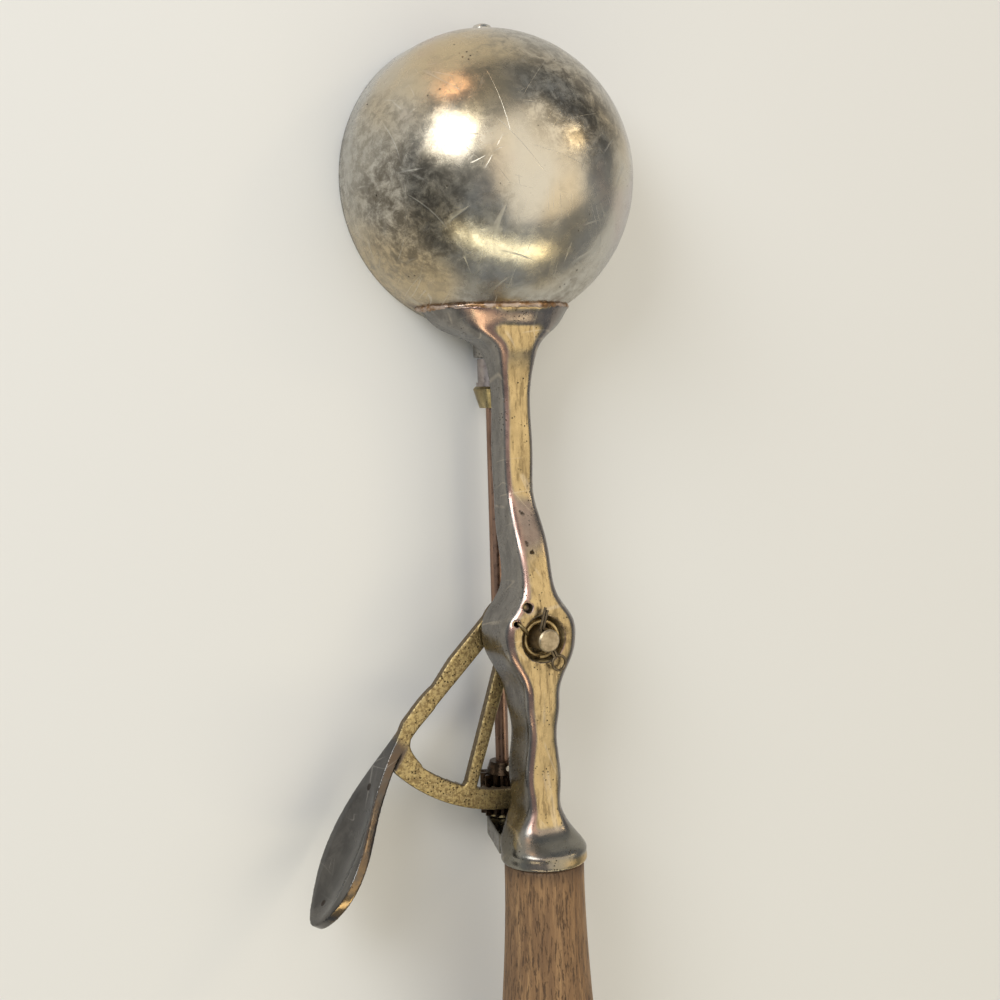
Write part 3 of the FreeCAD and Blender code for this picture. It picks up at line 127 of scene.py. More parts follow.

# Tones of wear, with painted reflections, painted highlights and painted shade among them, beside the ones
# that a user may change
# Partly pink film, partly a painted pink reflection
PINK_FILM_AND_REFLECTION = (0.50, 0.36, 0.32)
# Partly dark tarnish, partly a painted dark reflection
DARK_FILM_AND_REFLECTION = (0.10, 0.085, 0.065)
# Painted blue reflection on the bowl's right-facing side
BOWL_BLUE_REFLECTION = (0.36, 0.375, 0.43)
BLACK_PIT = (0.03, 0.024, 0.018)
SEAM_BROWN = (0.12, 0.065, 0.032)
PALE_SCRATCH = (0.70, 0.68, 0.62)
DULL_GOLD = (0.42, 0.32, 0.17)
GOLD_STREAK = (0.23, 0.17, 0.09)
# Painted blue reflection on the casting's right-facing sides
CASTING_BLUE_REFLECTION = (0.30, 0.315, 0.36)
FERRULE_PLATE = (0.235, 0.225, 0.195)
FERRULE_LIP = (0.60, 0.42, 0.18)
# Painted shade under the casting
CASTING_UNDERSIDE_SHADE = (0.10, 0.08, 0.065)
GOLD_SCRATCH = (0.66, 0.58, 0.46)
RECESS_BRASS = (0.52, 0.40, 0.20)
PIN_SMEAR = (0.12, 0.09, 0.05)
SOLDER_SHINE = (0.50, 0.40, 0.34)
LEVER_DULL = (0.42, 0.335, 0.18)
LEVER_GRAIN = (0.27, 0.20, 0.10)
LEVER_SIDE = (0.13, 0.10, 0.075)
# Painted shade under the lever
LEVER_UNDERSIDE_SHADE = (0.075, 0.055, 0.035)
PADDLE_FILM = (0.14, 0.134, 0.128)
PADDLE_EDGE = (0.12, 0.088, 0.065)
# Worn brass on the paddle's edge, brightened toward its tip as a painted highlight
PADDLE_TIP_EDGE_AND_HIGHLIGHT = (0.30, 0.20, 0.10)
PADDLE_SCRATCH = (0.50, 0.48, 0.45)
PADDLE_PIT = (0.03, 0.02, 0.015)
WOOD_BAND = (0.20, 0.11, 0.05)
WOOD_FIBRE = (0.15, 0.083, 0.04)
WOOD_SMUDGE = (0.12, 0.065, 0.035)
WOOD_END = (0.05, 0.026, 0.015)
BRASS_TONES = ((0.42, 0.345, 0.19), (0.15, 0.115, 0.06))


def color_property(name, description, default):
    """A colour that a user may change."""
    return FloatVectorProperty(
        name=name, description=description, subtype="COLOR", size=3, min=0, max=1, default=default
    )


def length_property(name, description, default):
    """A length that a user may change."""
    return FloatProperty(name=name, description=description, unit="LENGTH", default=default, precision=5)


class BowlSettings(bpy.types.PropertyGroup):
    plate: color_property("Plate", "Nickel plate of the bowl", (0.56, 0.54, 0.49))
    tarnish: color_property("Tarnish", "Darker film on the plate", (0.25, 0.225, 0.18))
    # Partly a gold tone where the plate is thin, partly a painted gold reflection
    gold_tone_and_reflection: color_property("Glow", "Gold tone where the plate is thin", (0.60, 0.485, 0.31))
    wall: length_property("Wall", "Sheet of the bowl", 0.9 * MM)
    ripple: length_property("Ripple", "Shallow unevenness of the hand-worn dome", 0.08 * MM)
    rings: IntProperty(name="Rings", description="Steps from rim to crown", default=64)
    segments: IntProperty(name="Segments", description="Steps round the bowl", default=160)


class CastingSettings(bpy.types.PropertyGroup):
    plate: color_property("Plate", "Grey nickel left on the casting", (0.27, 0.255, 0.235))
    brass: color_property("Brass", "Gold tone where the plate has worn through", (0.56, 0.43, 0.23))
    pink_edge_and_highlight: color_property("Blush", "Pink copper tone along the worn edges", (0.47, 0.29, 0.235))
    # Partly copper along the worn edges, partly a painted pink highlight
    grime: color_property("Grime", "Dirt in the recess and the corners", (0.05, 0.036, 0.022))
    solder: color_property("Solder", "Brown solder along the flange", (0.26, 0.15, 0.075))
    voxel: length_property("Voxel", "Fineness of the recast surface", 0.3 * MM)


class LeverSettings(bpy.types.PropertyGroup):
    brass: color_property("Brass", "Pitted brass face of the web", (0.52, 0.41, 0.20))
    pits: color_property("Pits", "Dirt in the casting's pits", (0.05, 0.035, 0.02))
    paddle: color_property("Paddle", "Dark plate left on the paddle", (0.085, 0.082, 0.08))
    voxel: length_property("Voxel", "Fineness of the recast surface", 0.22 * MM)


class DriveSettings(bpy.types.PropertyGroup):
    bronze: color_property("Bronze", "Worn shaft", (0.34, 0.215, 0.155))
    grime: color_property("Grime", "Greasy dirt on the gears", (0.02, 0.014, 0.01))


class HandleSettings(bpy.types.PropertyGroup):
    pale: color_property("Pale wood", "Light bands of the grain", (0.36, 0.215, 0.10))
    dark: color_property("Dark wood", "Dark lines of the grain", (0.045, 0.022, 0.012))
    voxel: length_property("Voxel", "Fineness of the recast surface", 0.55 * MM)


class StageSettings(bpy.types.PropertyGroup):
    floor: color_property("Floor", "Plain pale floor", (0.72, 0.73, 0.74))
    world: FloatProperty(name="World light", description="Level of the soft surrounding light", default=0.30)
    lamps: FloatProperty(name="Lamp light", description="Share of the soft boxes' power", default=1.0)


SETTINGS = {
    "scoop_bowl": BowlSettings,
    "scoop_casting": CastingSettings,
    "scoop_lever": LeverSettings,
    "scoop_drive": DriveSettings,
    "scoop_handle": HandleSettings,
    "scoop_stage": StageSettings,
}


class Finish:
    """A node material under construction."""

    def __init__(self, name, metallic, color=None, roughness=0.3):
        self.material = bpy.data.materials.new(name)
        self.material.use_nodes = True
        self.tree = self.material.node_tree
        self.shader = self.tree.nodes["Principled BSDF"]
        self.shader.inputs["Metallic"].default_value = metallic
        self.shader.inputs["Roughness"].default_value = roughness
        if color is not None:
            self.shader.inputs["Base Color"].default_value = (*color, 1)
        self.place = self.tree.nodes.new("ShaderNodeTexCoord").outputs["Object"]
        self.height = None

    def clouds(self, scale, detail=4.0, rough=0.55, distortion=0.0, stretch=(1, 1, 1), turn=(0, 0, 0)):
        """Noise between 0 and 1, turned and then stretched."""
        grid = self.tree.nodes.new("ShaderNodeMapping")
        grid.vector_type = "TEXTURE"
        grid.inputs["Scale"].default_value = [1 / part for part in stretch]
        grid.inputs["Rotation"].default_value = turn
        self.tree.links.new(self.place, grid.inputs["Vector"])
        node = self.tree.nodes.new("ShaderNodeTexNoise")
        node.inputs["Scale"].default_value = scale
        node.inputs["Detail"].default_value = detail
        node.inputs["Roughness"].default_value = rough
        node.inputs["Distortion"].default_value = distortion
        self.tree.links.new(grid.outputs["Vector"], node.inputs["Vector"])
        return node.outputs["Fac"]

    def dots(self, scale, low, high):
        """Round dots, one in each cell of a random mesh."""
        node = self.tree.nodes.new("ShaderNodeTexVoronoi")
        node.inputs["Scale"].default_value = scale
        self.tree.links.new(self.place, node.inputs["Vector"])
        return self.step(node.outputs["Distance"], high, low)

    def step(self, source, low, high, start=0.0, end=1.0):
        """A smooth step of a value from one level to another."""
        node = self.tree.nodes.new("ShaderNodeMapRange")
        node.interpolation_type = "SMOOTHSTEP"
        self.tree.links.new(source, node.inputs["Value"])
        for name, number in (("From Min", low), ("From Max", high), ("To Min", start), ("To Max", end)):
            node.inputs[name].default_value = number
        return node.outputs["Result"]

    def math(self, operation, first, second=0.0):
        node = self.tree.nodes.new("ShaderNodeMath")
        node.operation = operation
        for socket, item in zip(node.inputs, (first, second)):
            if isinstance(item, (int, float)):
                socket.default_value = item
            else:
                self.tree.links.new(item, socket)
        return node.outputs["Value"]

    def times(self, first, second):
        return self.math("MULTIPLY", first, second)

    def plus(self, first, second):
        return self.math("ADD", first, second)

    def most(self, first, second):
        return self.math("MAXIMUM", first, second)

    def rest(self, share):
        return self.math("SUBTRACT", 1.0, share)

    def coordinate(self, letter):
        node = self.tree.nodes.new("ShaderNodeSeparateXYZ")
        self.tree.links.new(self.place, node.inputs["Vector"])
        return node.outputs[letter]

    def distance_along(self, origin, way):
        """How far a point lies from an origin, along one direction."""
        gap = self.tree.nodes.new("ShaderNodeVectorMath")
        gap.operation = "SUBTRACT"
        gap.inputs[1].default_value = origin
        self.tree.links.new(self.place, gap.inputs[0])
        dot = self.tree.nodes.new("ShaderNodeVectorMath")
        dot.operation = "DOT_PRODUCT"
        dot.inputs[1].default_value = way
        self.tree.links.new(gap.outputs["Vector"], dot.inputs[0])
        return dot.outputs["Value"]

    def distance_from(self, place, height_share=0.0):
        """How far a point lies from an upright axis, or with a height share of 1 from a place itself."""
        total = None
        for way in ((1, 0, 0), (0, 1, 0), (0, 0, height_share)):
            gap = self.distance_along(place, way)
            square = self.times(gap, gap)
            total = square if total is None else self.plus(total, square)
        return self.math("SQRT", total)

    def facing(self, letter):
        """One component of the surface normal in the piece's own axes."""
        split = self.tree.nodes.new("ShaderNodeSeparateXYZ")
        source = self.tree.nodes.new("ShaderNodeTexCoord").outputs["Normal"]
        self.tree.links.new(source, split.inputs["Vector"])
        return split.outputs[letter]

    def edges(self, low, high):
        """How far a point stands on a raised edge."""
        node = self.tree.nodes.new("ShaderNodeNewGeometry")
        return self.step(node.outputs["Pointiness"], low, high)

    def hairlines(self, angles, scale=170.0, width=0.010):
        """Long thin scratches in a few directions, broken off at random."""
        total = None
        for seed, angle in enumerate(angles):
            turn = (0.21 * seed + 0.1, 0.13 * seed, math.radians(angle))
            sway = self.clouds(scale, 1.0, 0.4, 0.0, (1, 0.05, 0.08), turn)
            away = self.math("ABSOLUTE", self.math("SUBTRACT", sway, 0.5))
            some = self.step(self.clouds(70, 3.0, 0.6, 0.0, (1, 1, 1), turn), 0.52, 0.62)
            line = self.times(self.step(away, width, 0.0), some)
            total = line if total is None else self.most(total, line)
        return total

    def blend(self, share, first, second):
        """A colour between two, each a socket or a tuple."""
        node = self.tree.nodes.new("ShaderNodeMix")
        node.data_type = "RGBA"
        self.tree.links.new(share, node.inputs[0])
        for socket, item in ((node.inputs[6], first), (node.inputs[7], second)):
            if isinstance(item, bpy.types.NodeSocket):
                self.tree.links.new(item, socket)
            else:
                socket.default_value = (*item, 1)
        return node.outputs[2]

    def paint(self, color):
        self.tree.links.new(color, self.shader.inputs["Base Color"])

    def polish(self, roughness):
        self.tree.links.new(roughness, self.shader.inputs["Roughness"])

    def metal(self, share):
        self.tree.links.new(share, self.shader.inputs["Metallic"])

    def relief(self, source, depth, strength=1.0):
        """Add a bump of a depth in metres on top of the earlier ones."""
        node = self.tree.nodes.new("ShaderNodeBump")
        node.inputs["Distance"].default_value = depth
        if isinstance(strength, float):
            node.inputs["Strength"].default_value = strength
        else:
            self.tree.links.new(strength, node.inputs["Strength"])
        self.tree.links.new(source, node.inputs["Height"])
        if self.height is not None:
            self.tree.links.new(self.height, node.inputs["Normal"])
        self.height = node.outputs["Normal"]
        self.tree.links.new(self.height, self.shader.inputs["Normal"])


def bowl_finish(settings):
    """Worn plate: a mottled dark film, with gold, pink and darker patches that are partly tarnish and partly
    painted reflection, a painted blue reflection on the right-facing side, scratches, pits and a brown seam.
    """
    finish = Finish("bowl_plate", 1.0)
    # Gold patches: partly plate worn thin, partly a painted warm reflection
    gold_tone_and_reflection = finish.step(finish.clouds(26, 3, 0.5, 0.3, turn=(0.4, 0.2, 1.1)), 0.42, 0.64)
    color = finish.blend(gold_tone_and_reflection, tuple(settings.plate), tuple(settings.gold_tone_and_reflection))
    # Pink patches: partly film, partly a painted pink reflection
    pink = finish.step(finish.clouds(44, 3, 0.5, 0.2, turn=(1.4, 0.7, 0.1)), 0.56, 0.74)
    color = finish.blend(finish.times(pink, 0.5), color, PINK_FILM_AND_REFLECTION)
    broad = finish.step(finish.clouds(34, 5, 0.6, 0.5, turn=(0.2, 0.9, 0.5)), 0.40, 0.66)
    fine = finish.step(finish.clouds(520, 6, 0.72, 0.5), 0.40, 0.62)
    seam_side = finish.step(finish.coordinate("Y"), -6 * MM, -24 * MM)
    film = finish.times(finish.plus(broad, finish.times(seam_side, 0.5)), finish.plus(fine, 0.35))
    color = finish.blend(finish.times(film, 0.62), color, tuple(settings.tarnish))
    grit = finish.step(finish.clouds(300, 7, 0.8, 0.4), 0.36, 0.60)
    # Darker patches out from the centre: partly tarnish, partly a painted dark reflection
    for way, low, high in DARK_PATCHES_AND_REFLECTIONS:
        reach = finish.distance_along((0, 0, AXIS_HEIGHT), way)
        patch = finish.step(reach, low * BOWL_RADIUS, high * BOWL_RADIUS)
        color = finish.blend(finish.times(finish.times(patch, grit), 0.85), color, DARK_FILM_AND_REFLECTION)
    # Painted blue reflection: faces turned right and not up turn cooler
    right = finish.step(finish.facing("X"), 0.45, 0.75)
    painted_blue_reflection = finish.times(right, finish.step(finish.facing("Z"), 0.85, 0.5))
    color = finish.blend(finish.times(painted_blue_reflection, 0.6), color, BOWL_BLUE_REFLECTION)
    pits = finish.times(finish.dots(700, 0.10, 0.17), finish.step(finish.clouds(110, 3, 0.6), 0.55, 0.62))
    color = finish.blend(pits, color, BLACK_PIT)
    seam = finish.step(finish.coordinate("Y"), -23.6 * MM, -25.6 * MM)
    dirty = finish.times(seam, finish.step(finish.clouds(420, 4, 0.6), 0.38, 0.6))
    color = finish.blend(finish.times(dirty, 0.85), color, SEAM_BROWN)
    lines = finish.hairlines((8, 38, 74, 112, 151), 230.0, 0.007)
    color = finish.blend(finish.times(lines, 0.4), color, PALE_SCRATCH)
    finish.paint(color)
    haze = finish.step(finish.clouds(240, 6, 0.7, 0.3), 0.3, 0.75, 0.19, 0.34)
    finish.polish(finish.plus(haze, finish.times(finish.plus(lines, pits), 0.15)))
    finish.relief(finish.clouds(700, 4, 0.65), 0.02 * MM, 0.5)
    finish.relief(finish.rest(finish.most(lines, pits)), 0.04 * MM, 0.5)
    return finish.material


def casting_finish(settings):
    """Grey plate on the sides, worn to gold on the flat top, pink along its edges, partly copper wear and
    partly a painted highlight on the left-facing side, with a painted blue reflection on the right-facing
    sides and painted shade underneath.
    """
    finish = Finish("casting_plate", 1.0)
    up = finish.facing("Z")
    wander = finish.clouds(120, 4, 0.55, 0.3, stretch=(1, 0.35, 1))
    crown = finish.plus(up, finish.times(finish.math("SUBTRACT", wander, 0.5), 0.12))
    worn = finish.step(crown, 0.90, 0.985)
    rim = finish.times(finish.step(crown, 0.55, 0.80), finish.step(crown, 0.965, 0.88))
    mottle = finish.step(finish.clouds(330, 6, 0.68, 0.2, stretch=(1, 0.5, 1)), 0.35, 0.70)
    plate = finish.blend(mottle, tuple(settings.plate), tuple(0.6 * part for part in settings.plate))
    # Pink along the edges: a little copper wear all round, and a painted highlight strongest on the
    # left-facing side
    left = finish.step(finish.facing("X"), 0.2, -0.5)
    pink_edge_and_highlight = finish.times(rim, finish.plus(finish.times(left, 0.75), 0.12))
    color = finish.blend(pink_edge_and_highlight, plate, tuple(settings.pink_edge_and_highlight))
    gold = finish.blend(mottle, tuple(settings.brass), DULL_GOLD)
    streak = finish.step(finish.clouds(1100, 5, 0.75, stretch=(1, 0.12, 1)), 0.48, 0.62)
    gold = finish.blend(finish.times(streak, 0.8), gold, GOLD_STREAK)
    color = finish.blend(worn, color, gold)
    # Painted blue reflection on right-facing sides that don't face up
    painted_blue_reflection = finish.times(finish.step(finish.facing("X"), 0.35, 0.9), finish.step(up, 0.9, 0.4))
    color = finish.blend(finish.times(painted_blue_reflection, 0.55), color, CASTING_BLUE_REFLECTION)
    ferrule = finish.step(finish.coordinate("Y"), FERRULE_END + 8 * MM, FERRULE_END + 5 * MM)
    color = finish.blend(finish.times(ferrule, 0.8), color, FERRULE_PLATE)
    right = finish.step(finish.coordinate("X"), -1.0 * MM, 3.5 * MM)
    last = finish.step(finish.coordinate("Y"), FERRULE_END + 2.4 * MM, FERRULE_END + 1.2 * MM)
    lip = finish.times(last, right)
    color = finish.blend(finish.times(lip, 0.8), color, FERRULE_LIP)
    # Painted shade: faces turned down are darkened
    under = finish.step(up, 0.1, -0.35)
    color = finish.blend(finish.times(under, 0.6), color, CASTING_UNDERSIDE_SHADE)
    specks = finish.times(finish.dots(1500, 0.14, 0.26), finish.step(finish.clouds(240, 4, 0.65), 0.52, 0.60))
    for place in CASTING_PITS:
        sway = finish.times(finish.clouds(1400, 3, 0.7), 1.6 * MM)
        away = finish.plus(finish.distance_from([part * MM for part in place]), sway)
        specks = finish.most(specks, finish.step(away, 1.35 * MM, 0.95 * MM))
    color = finish.blend(specks, color, tuple(settings.grime))
    lines = finish.hairlines((6, 28, 96))
    color = finish.blend(finish.times(lines, 0.35), color, GOLD_SCRATCH)
    from_pin = finish.distance_from(PIVOT)
    deep = finish.step(finish.coordinate("Z"), BOSS_TOP + 0.1 * MM, BOSS_TOP - 0.5 * MM)
    sunk = finish.times(finish.step(from_pin, RECESS_RADIUS + 0.4 * MM, RECESS_RADIUS + 0.1 * MM), deep)
    dirt = finish.step(finish.clouds(620, 5, 0.7), 0.47, 0.62)
    stain = finish.blend(dirt, RECESS_BRASS, tuple(settings.grime))
    color = finish.blend(sunk, color, stain)
    finish.metal(finish.rest(finish.times(sunk, 0.9)))
    near_pin = finish.step(from_pin, RECESS_RADIUS + 2.4 * MM, RECESS_RADIUS)
    smear = finish.times(near_pin, finish.step(finish.clouds(420, 5, 0.7, 0.6), 0.46, 0.60))
    color = finish.blend(finish.times(smear, 0.7), color, PIN_SMEAR)
    corner = finish.edges(0.49, 0.44)
    color = finish.blend(finish.times(corner, 0.8), color, tuple(settings.grime))
    finish.paint(color)
    haze = finish.step(finish.clouds(260, 6, 0.68), 0.3, 0.75, 0.20, 0.38)
    dull = finish.plus(finish.plus(specks, corner), sunk)
    finish.polish(finish.plus(haze, finish.times(dull, 0.2)))
    finish.relief(finish.clouds(330, 4, 0.6, stretch=(1, 0.4, 1)), 0.08 * MM, 0.5)
    finish.relief(finish.clouds(1500, 3, 0.6), 0.02 * MM, 0.5)
    finish.relief(finish.rest(specks), 0.1 * MM, 0.9)
    return finish.material


def solder_finish(settings):
    """Lumpy brown solder with brighter patches."""
    finish = Finish("solder", 0.85)
    patch = finish.step(finish.clouds(330, 5, 0.65, 0.5), 0.42, 0.60)
    finish.paint(finish.blend(patch, tuple(settings.solder), SOLDER_SHINE))
    finish.polish(finish.step(finish.clouds(500, 4, 0.6), 0.3, 0.7, 0.25, 0.55))
    finish.relief(finish.clouds(1100, 4, 0.6), 0.12 * MM, 0.8)
    return finish.material


def lever_finish(settings):
    """Granular brass full of small dirty pits, and dark polished plate on the paddle."""
    finish = Finish("lever_brass", 1.0)
    up = finish.facing("Z")
    grain = finish.clouds(1500, 3, 0.7)
    patch = finish.step(finish.clouds(330, 4, 0.6), 0.35, 0.7)
    light = finish.blend(patch, tuple(settings.brass), LEVER_DULL)
    color = finish.blend(finish.step(grain, 0.58, 0.40), light, LEVER_GRAIN)
    crowd = finish.step(finish.clouds(300, 3, 0.6, turn=(0.6, 0.2, 0.9)), 0.34, 0.56)
    pits = finish.times(finish.most(finish.dots(1300, 0.16, 0.27), finish.dots(800, 0.10, 0.18)), crowd)
    color = finish.blend(finish.times(pits, 0.92), color, tuple(settings.pits))
    side = finish.step(up, 0.75, 0.35)
    color = finish.blend(finish.times(side, 0.75), color, LEVER_SIDE)
    # Painted shade: faces turned down are darkened
    under = finish.step(up, -0.1, -0.6)
    color = finish.blend(finish.times(under, 0.9), color, LEVER_UNDERSIDE_SHADE)
    rough = finish.step(grain, 0.3, 0.7, 0.52, 0.36)

    film = finish.step(finish.clouds(150, 6, 0.65, 0.5), 0.38, 0.72)
    plate = finish.blend(film, tuple(settings.paddle), PADDLE_FILM)
    rub = finish.math("SUBTRACT", finish.clouds(260, 5, 0.65), 0.5)
    worn = finish.step(finish.plus(up, finish.times(rub, 1.2)), 0.60, 1.05)
    along = finish.distance_along(PADDLE_ROOT, PADDLE_WAY)
    # The rubbed edge turns from dark to gold toward the tip: worn brass, partly a painted highlight
    rubbed_edge_and_highlight = finish.blend(finish.step(along, 22 * MM, 32 * MM), PADDLE_EDGE, PADDLE_TIP_EDGE_AND_HIGHLIGHT)
    plate = finish.blend(finish.times(worn, 0.9), plate, rubbed_edge_and_highlight)
    lines = finish.hairlines((20, 118, 160), 300.0, 0.006)
    plate = finish.blend(finish.times(lines, 0.4), plate, PADDLE_SCRATCH)
    speck = finish.times(finish.dots(700, 0.08, 0.14), finish.step(finish.clouds(200, 3, 0.6), 0.55, 0.62))
    for place in PADDLE_PITS:
        pit = finish.distance_from([part * MM for part in place], 1.0)
        speck = finish.most(speck, finish.step(pit, 0.85 * MM, 0.65 * MM))
    plate = finish.blend(speck, plate, PADDLE_PIT)
    gloss = finish.step(finish.clouds(240, 5, 0.6), 0.3, 0.75, 0.17, 0.30)

    aside = finish.math("ABSOLUTE", finish.distance_along(PADDLE_ROOT, PADDLE_SIDE))
    sway = finish.times(finish.math("SUBTRACT", finish.clouds(300, 4, 0.6), 0.5), 3 * MM)
    leaf = finish.times(
        finish.step(finish.plus(along, sway), 1.0 * MM, 4.0 * MM),
        finish.step(aside, 2.4 * MM, 1.6 * MM),
    )
    finish.paint(finish.blend(leaf, color, plate))
    bare = finish.rest(leaf)
    finish.polish(finish.plus(finish.times(rough, bare), finish.times(gloss, leaf)))
    finish.relief(grain, 0.18 * MM, finish.times(bare, 0.8))
    finish.relief(finish.rest(pits), 0.14 * MM, finish.times(bare, 0.9))
    finish.relief(finish.clouds(230, 4, 0.6), 0.14 * MM, finish.times(leaf, 0.4))
    return finish.material


def metal_finish(name, base, dirt, share=0.5, rough=(0.25, 0.45), scale=420, stretch=(1, 1, 1)):
    """A small metal part: one tone with dirt in patches and a fine grain."""
    finish = Finish(name, 1.0)
    patch = finish.step(finish.clouds(scale, 5, 0.62, 0.3, stretch=stretch), 0.36, 0.68)
    color = finish.blend(finish.times(patch, share), base, dirt)
    hollow = finish.edges(0.49, 0.43)
    color = finish.blend(finish.times(hollow, 0.8), color, tuple(0.3 * part for part in dirt))
    finish.paint(color)
    finish.polish(finish.step(finish.clouds(scale * 1.7, 4, 0.6), 0.3, 0.7, rough[0], rough[1]))
    finish.relief(finish.clouds(1500, 3, 0.6, stretch=stretch), 0.03 * MM, 0.45)
    return finish.material


def wood_finish(settings):
    """Worn bare wood: reddish brown, with long dark pores, bands and a dirty end."""
    finish = Finish("handle_wood", 0.0)
    bands = finish.clouds(300, 5, 0.65, 0.6, stretch=(1, 0.06, 1))
    fibres = finish.clouds(1700, 5, 0.75, 0.2, stretch=(1, 0.07, 1))
    pores = finish.step(finish.clouds(2300, 3, 0.75, 0.1, stretch=(1, 0.10, 1)), 0.53, 0.63)
    crowd = finish.step(finish.clouds(140, 4, 0.6, stretch=(1, 0.3, 1)), 0.35, 0.6)
    pores = finish.times(pores, finish.plus(finish.times(crowd, 0.7), 0.3))
    color = finish.blend(finish.step(bands, 0.36, 0.64), tuple(settings.pale), WOOD_BAND)
    color = finish.blend(finish.times(finish.step(fibres, 0.42, 0.62), 0.8), color, WOOD_FIBRE)
    color = finish.blend(finish.times(pores, 0.8), color, tuple(settings.dark))
    smudge = finish.step(finish.clouds(70, 4, 0.55, stretch=(1, 0.4, 1)), 0.45, 0.75)
    color = finish.blend(finish.times(smudge, 0.4), color, WOOD_SMUDGE)
    end = finish.step(finish.coordinate("Y"), FERRULE_END - 4 * MM, FERRULE_END - 0.3 * MM)
    color = finish.blend(finish.times(end, 0.6), color, WOOD_END)
    finish.paint(color)
    finish.polish(finish.step(bands, 0.3, 0.7, 0.50, 0.66))
    finish.relief(finish.rest(pores), 0.16 * MM, 0.9)
    finish.relief(fibres, 0.1 * MM, 0.7)
    return finish.material


def add_piece(name, mesh, body, replaces=(), materials=()):
    """Put a mesh in the scene, riding on a body of the scoop."""
    piece = bpy.data.objects.new(name, mesh)
    bpy.context.scene.collection.objects.link(piece)
    for material in materials:
        mesh.materials.append(material)
    for face in mesh.polygons:
        face.use_smooth = True
    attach(piece, body)
    for node in replaces:
        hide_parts(node)
    return piece


def apply_modifiers(piece):
    """Bake a piece's modifiers into its mesh."""
    graph = bpy.context.evaluated_depsgraph_get()
    mesh = bpy.data.meshes.new_from_object(piece.evaluated_get(graph))
    piece.modifiers.clear()
    piece.data = mesh


def prism(work, corners, low, high):
    """Add an upright prism on a plan outline to a mesh under work."""
    rings = [[work.verts.new((x, y, height)) for x, y in corners] for height in (low, high)]
    work.faces.new(rings[0][::-1])
    work.faces.new(rings[1])
    for step in range(len(corners)):
        after = (step + 1) % len(corners)
        work.faces.new((rings[0][step], rings[0][after], rings[1][after], rings[1][step]))


def smooth_share(value, low, high):
    """Rise smoothly from 0 at one level to 1 at another."""
    share = min(max((value - low) / (high - low), 0.0), 1.0)
    return share * share * (3 - 2 * share)


def recast(node, name, body, voxel, material, rounds, hold=None, extra=None):
    """A node's solid, remeshed fine and rounded as a worn casting is, less so where it's held."""
    mesh = frame["nodes"][node].data.copy()
    mesh.materials.clear()
    work = bmesh.new()
    work.from_mesh(mesh)
    bmesh.ops.remove_doubles(work, verts=work.verts, dist=1e-7)
    if extra:
        extra(work)
    bmesh.ops.recalc_face_normals(work, faces=work.faces)
    work.to_mesh(mesh)
    work.free()
    piece = add_piece(name, mesh, body, replaces=(node,))
    remesh = piece.modifiers.new("recast", "REMESH")
    remesh.mode = "VOXEL"
    remesh.voxel_size = voxel
    apply_modifiers(piece)
    group = piece.vertex_groups.new(name="worn")
    for vert in piece.data.vertices:
        group.add([vert.index], hold(vert.co) if hold else 1.0, "REPLACE")
    soften = piece.modifiers.new("soften", "SMOOTH")
    soften.factor = 0.5
    soften.iterations = rounds
    soften.vertex_group = group.name
    apply_modifiers(piece)
    piece.data.materials.append(material)
    for face in piece.data.polygons:
        face.use_smooth = True
    return piece


def lathe(profile, segments, uneven):
    """A closed skin turned about the upright axis; its (height, radius) profile starts and ends there."""
    work = bmesh.new()
    rings = []
    for height, radius in profile:
        ring = []
        for step in range(segments if radius else 1):
            angle = 2 * math.pi * step / segments
            point = Vector((radius * math.cos(angle), radius * math.sin(angle), height))
            ring.append(work.verts.new(uneven(point)))
        rings.append(ring)
    for ring, other in zip(rings, rings[1:]):
        for step in range(segments):
            after = step + 1
            corners = [ring[step % len(ring)], ring[after % len(ring)]]
            corners += [other[after % len(other)], other[step % len(other)]]
            work.faces.new(list(dict.fromkeys(corners)))
    bmesh.ops.recalc_face_normals(work, faces=work.faces)
    mesh = bpy.data.meshes.new("turned")
    work.to_mesh(mesh)
    work.free()
    return mesh


def tube(name, points, radius, body, material, lumps=0.0):
    """A round bead or wire along a path of points."""
    count = len(points)
    sides = TUBE_SIDES
    verts = []
    faces = []
    # Any way that no path here follows
    up = Vector((0.13, 0.21, 0.97)).normalized()
    for index, point in enumerate(points):
        before = points[max(index - 1, 0)]
        after = points[min(index + 1, count - 1)]
        along = (after - before).normalized()
        side = along.cross(up).normalized()
        lift = side.cross(along)
        swell = 1 + lumps * noise.noise(point * LUMP_GRAIN + LUMP_START)
        for step in range(sides):
            angle = 2 * math.pi * step / sides
            verts.append(point + (side * math.cos(angle) + lift * math.sin(angle)) * radius * swell)
    for ring in range(count - 1):
        for step in range(sides):
            after = (step + 1) % sides
            first = ring * sides
            faces.append((first + step, first + after, first + sides + after, first + sides + step))
    faces.append([sides - 1 - step for step in range(sides)])
    faces.append([(count - 1) * sides + step for step in range(sides)])
    mesh = bpy.data.meshes.new(name)
    mesh.from_pydata(verts, [], faces)
    return add_piece(name, mesh, body, materials=(material,))


def dress(node, material, bevel=0.0):
    """Give a CAD node its finish, and soften its edges."""
    item = frame["nodes"][node]
    item.data.materials.clear()
    item.data.materials.append(material)
    if bevel:
        edge = item.modifiers.new("worn_edges", "BEVEL")
        edge.width = bevel
        edge.segments = 2
        edge.limit_method = "ANGLE"
        edge.angle_limit = math.radians(35)
        edge.harden_normals = True


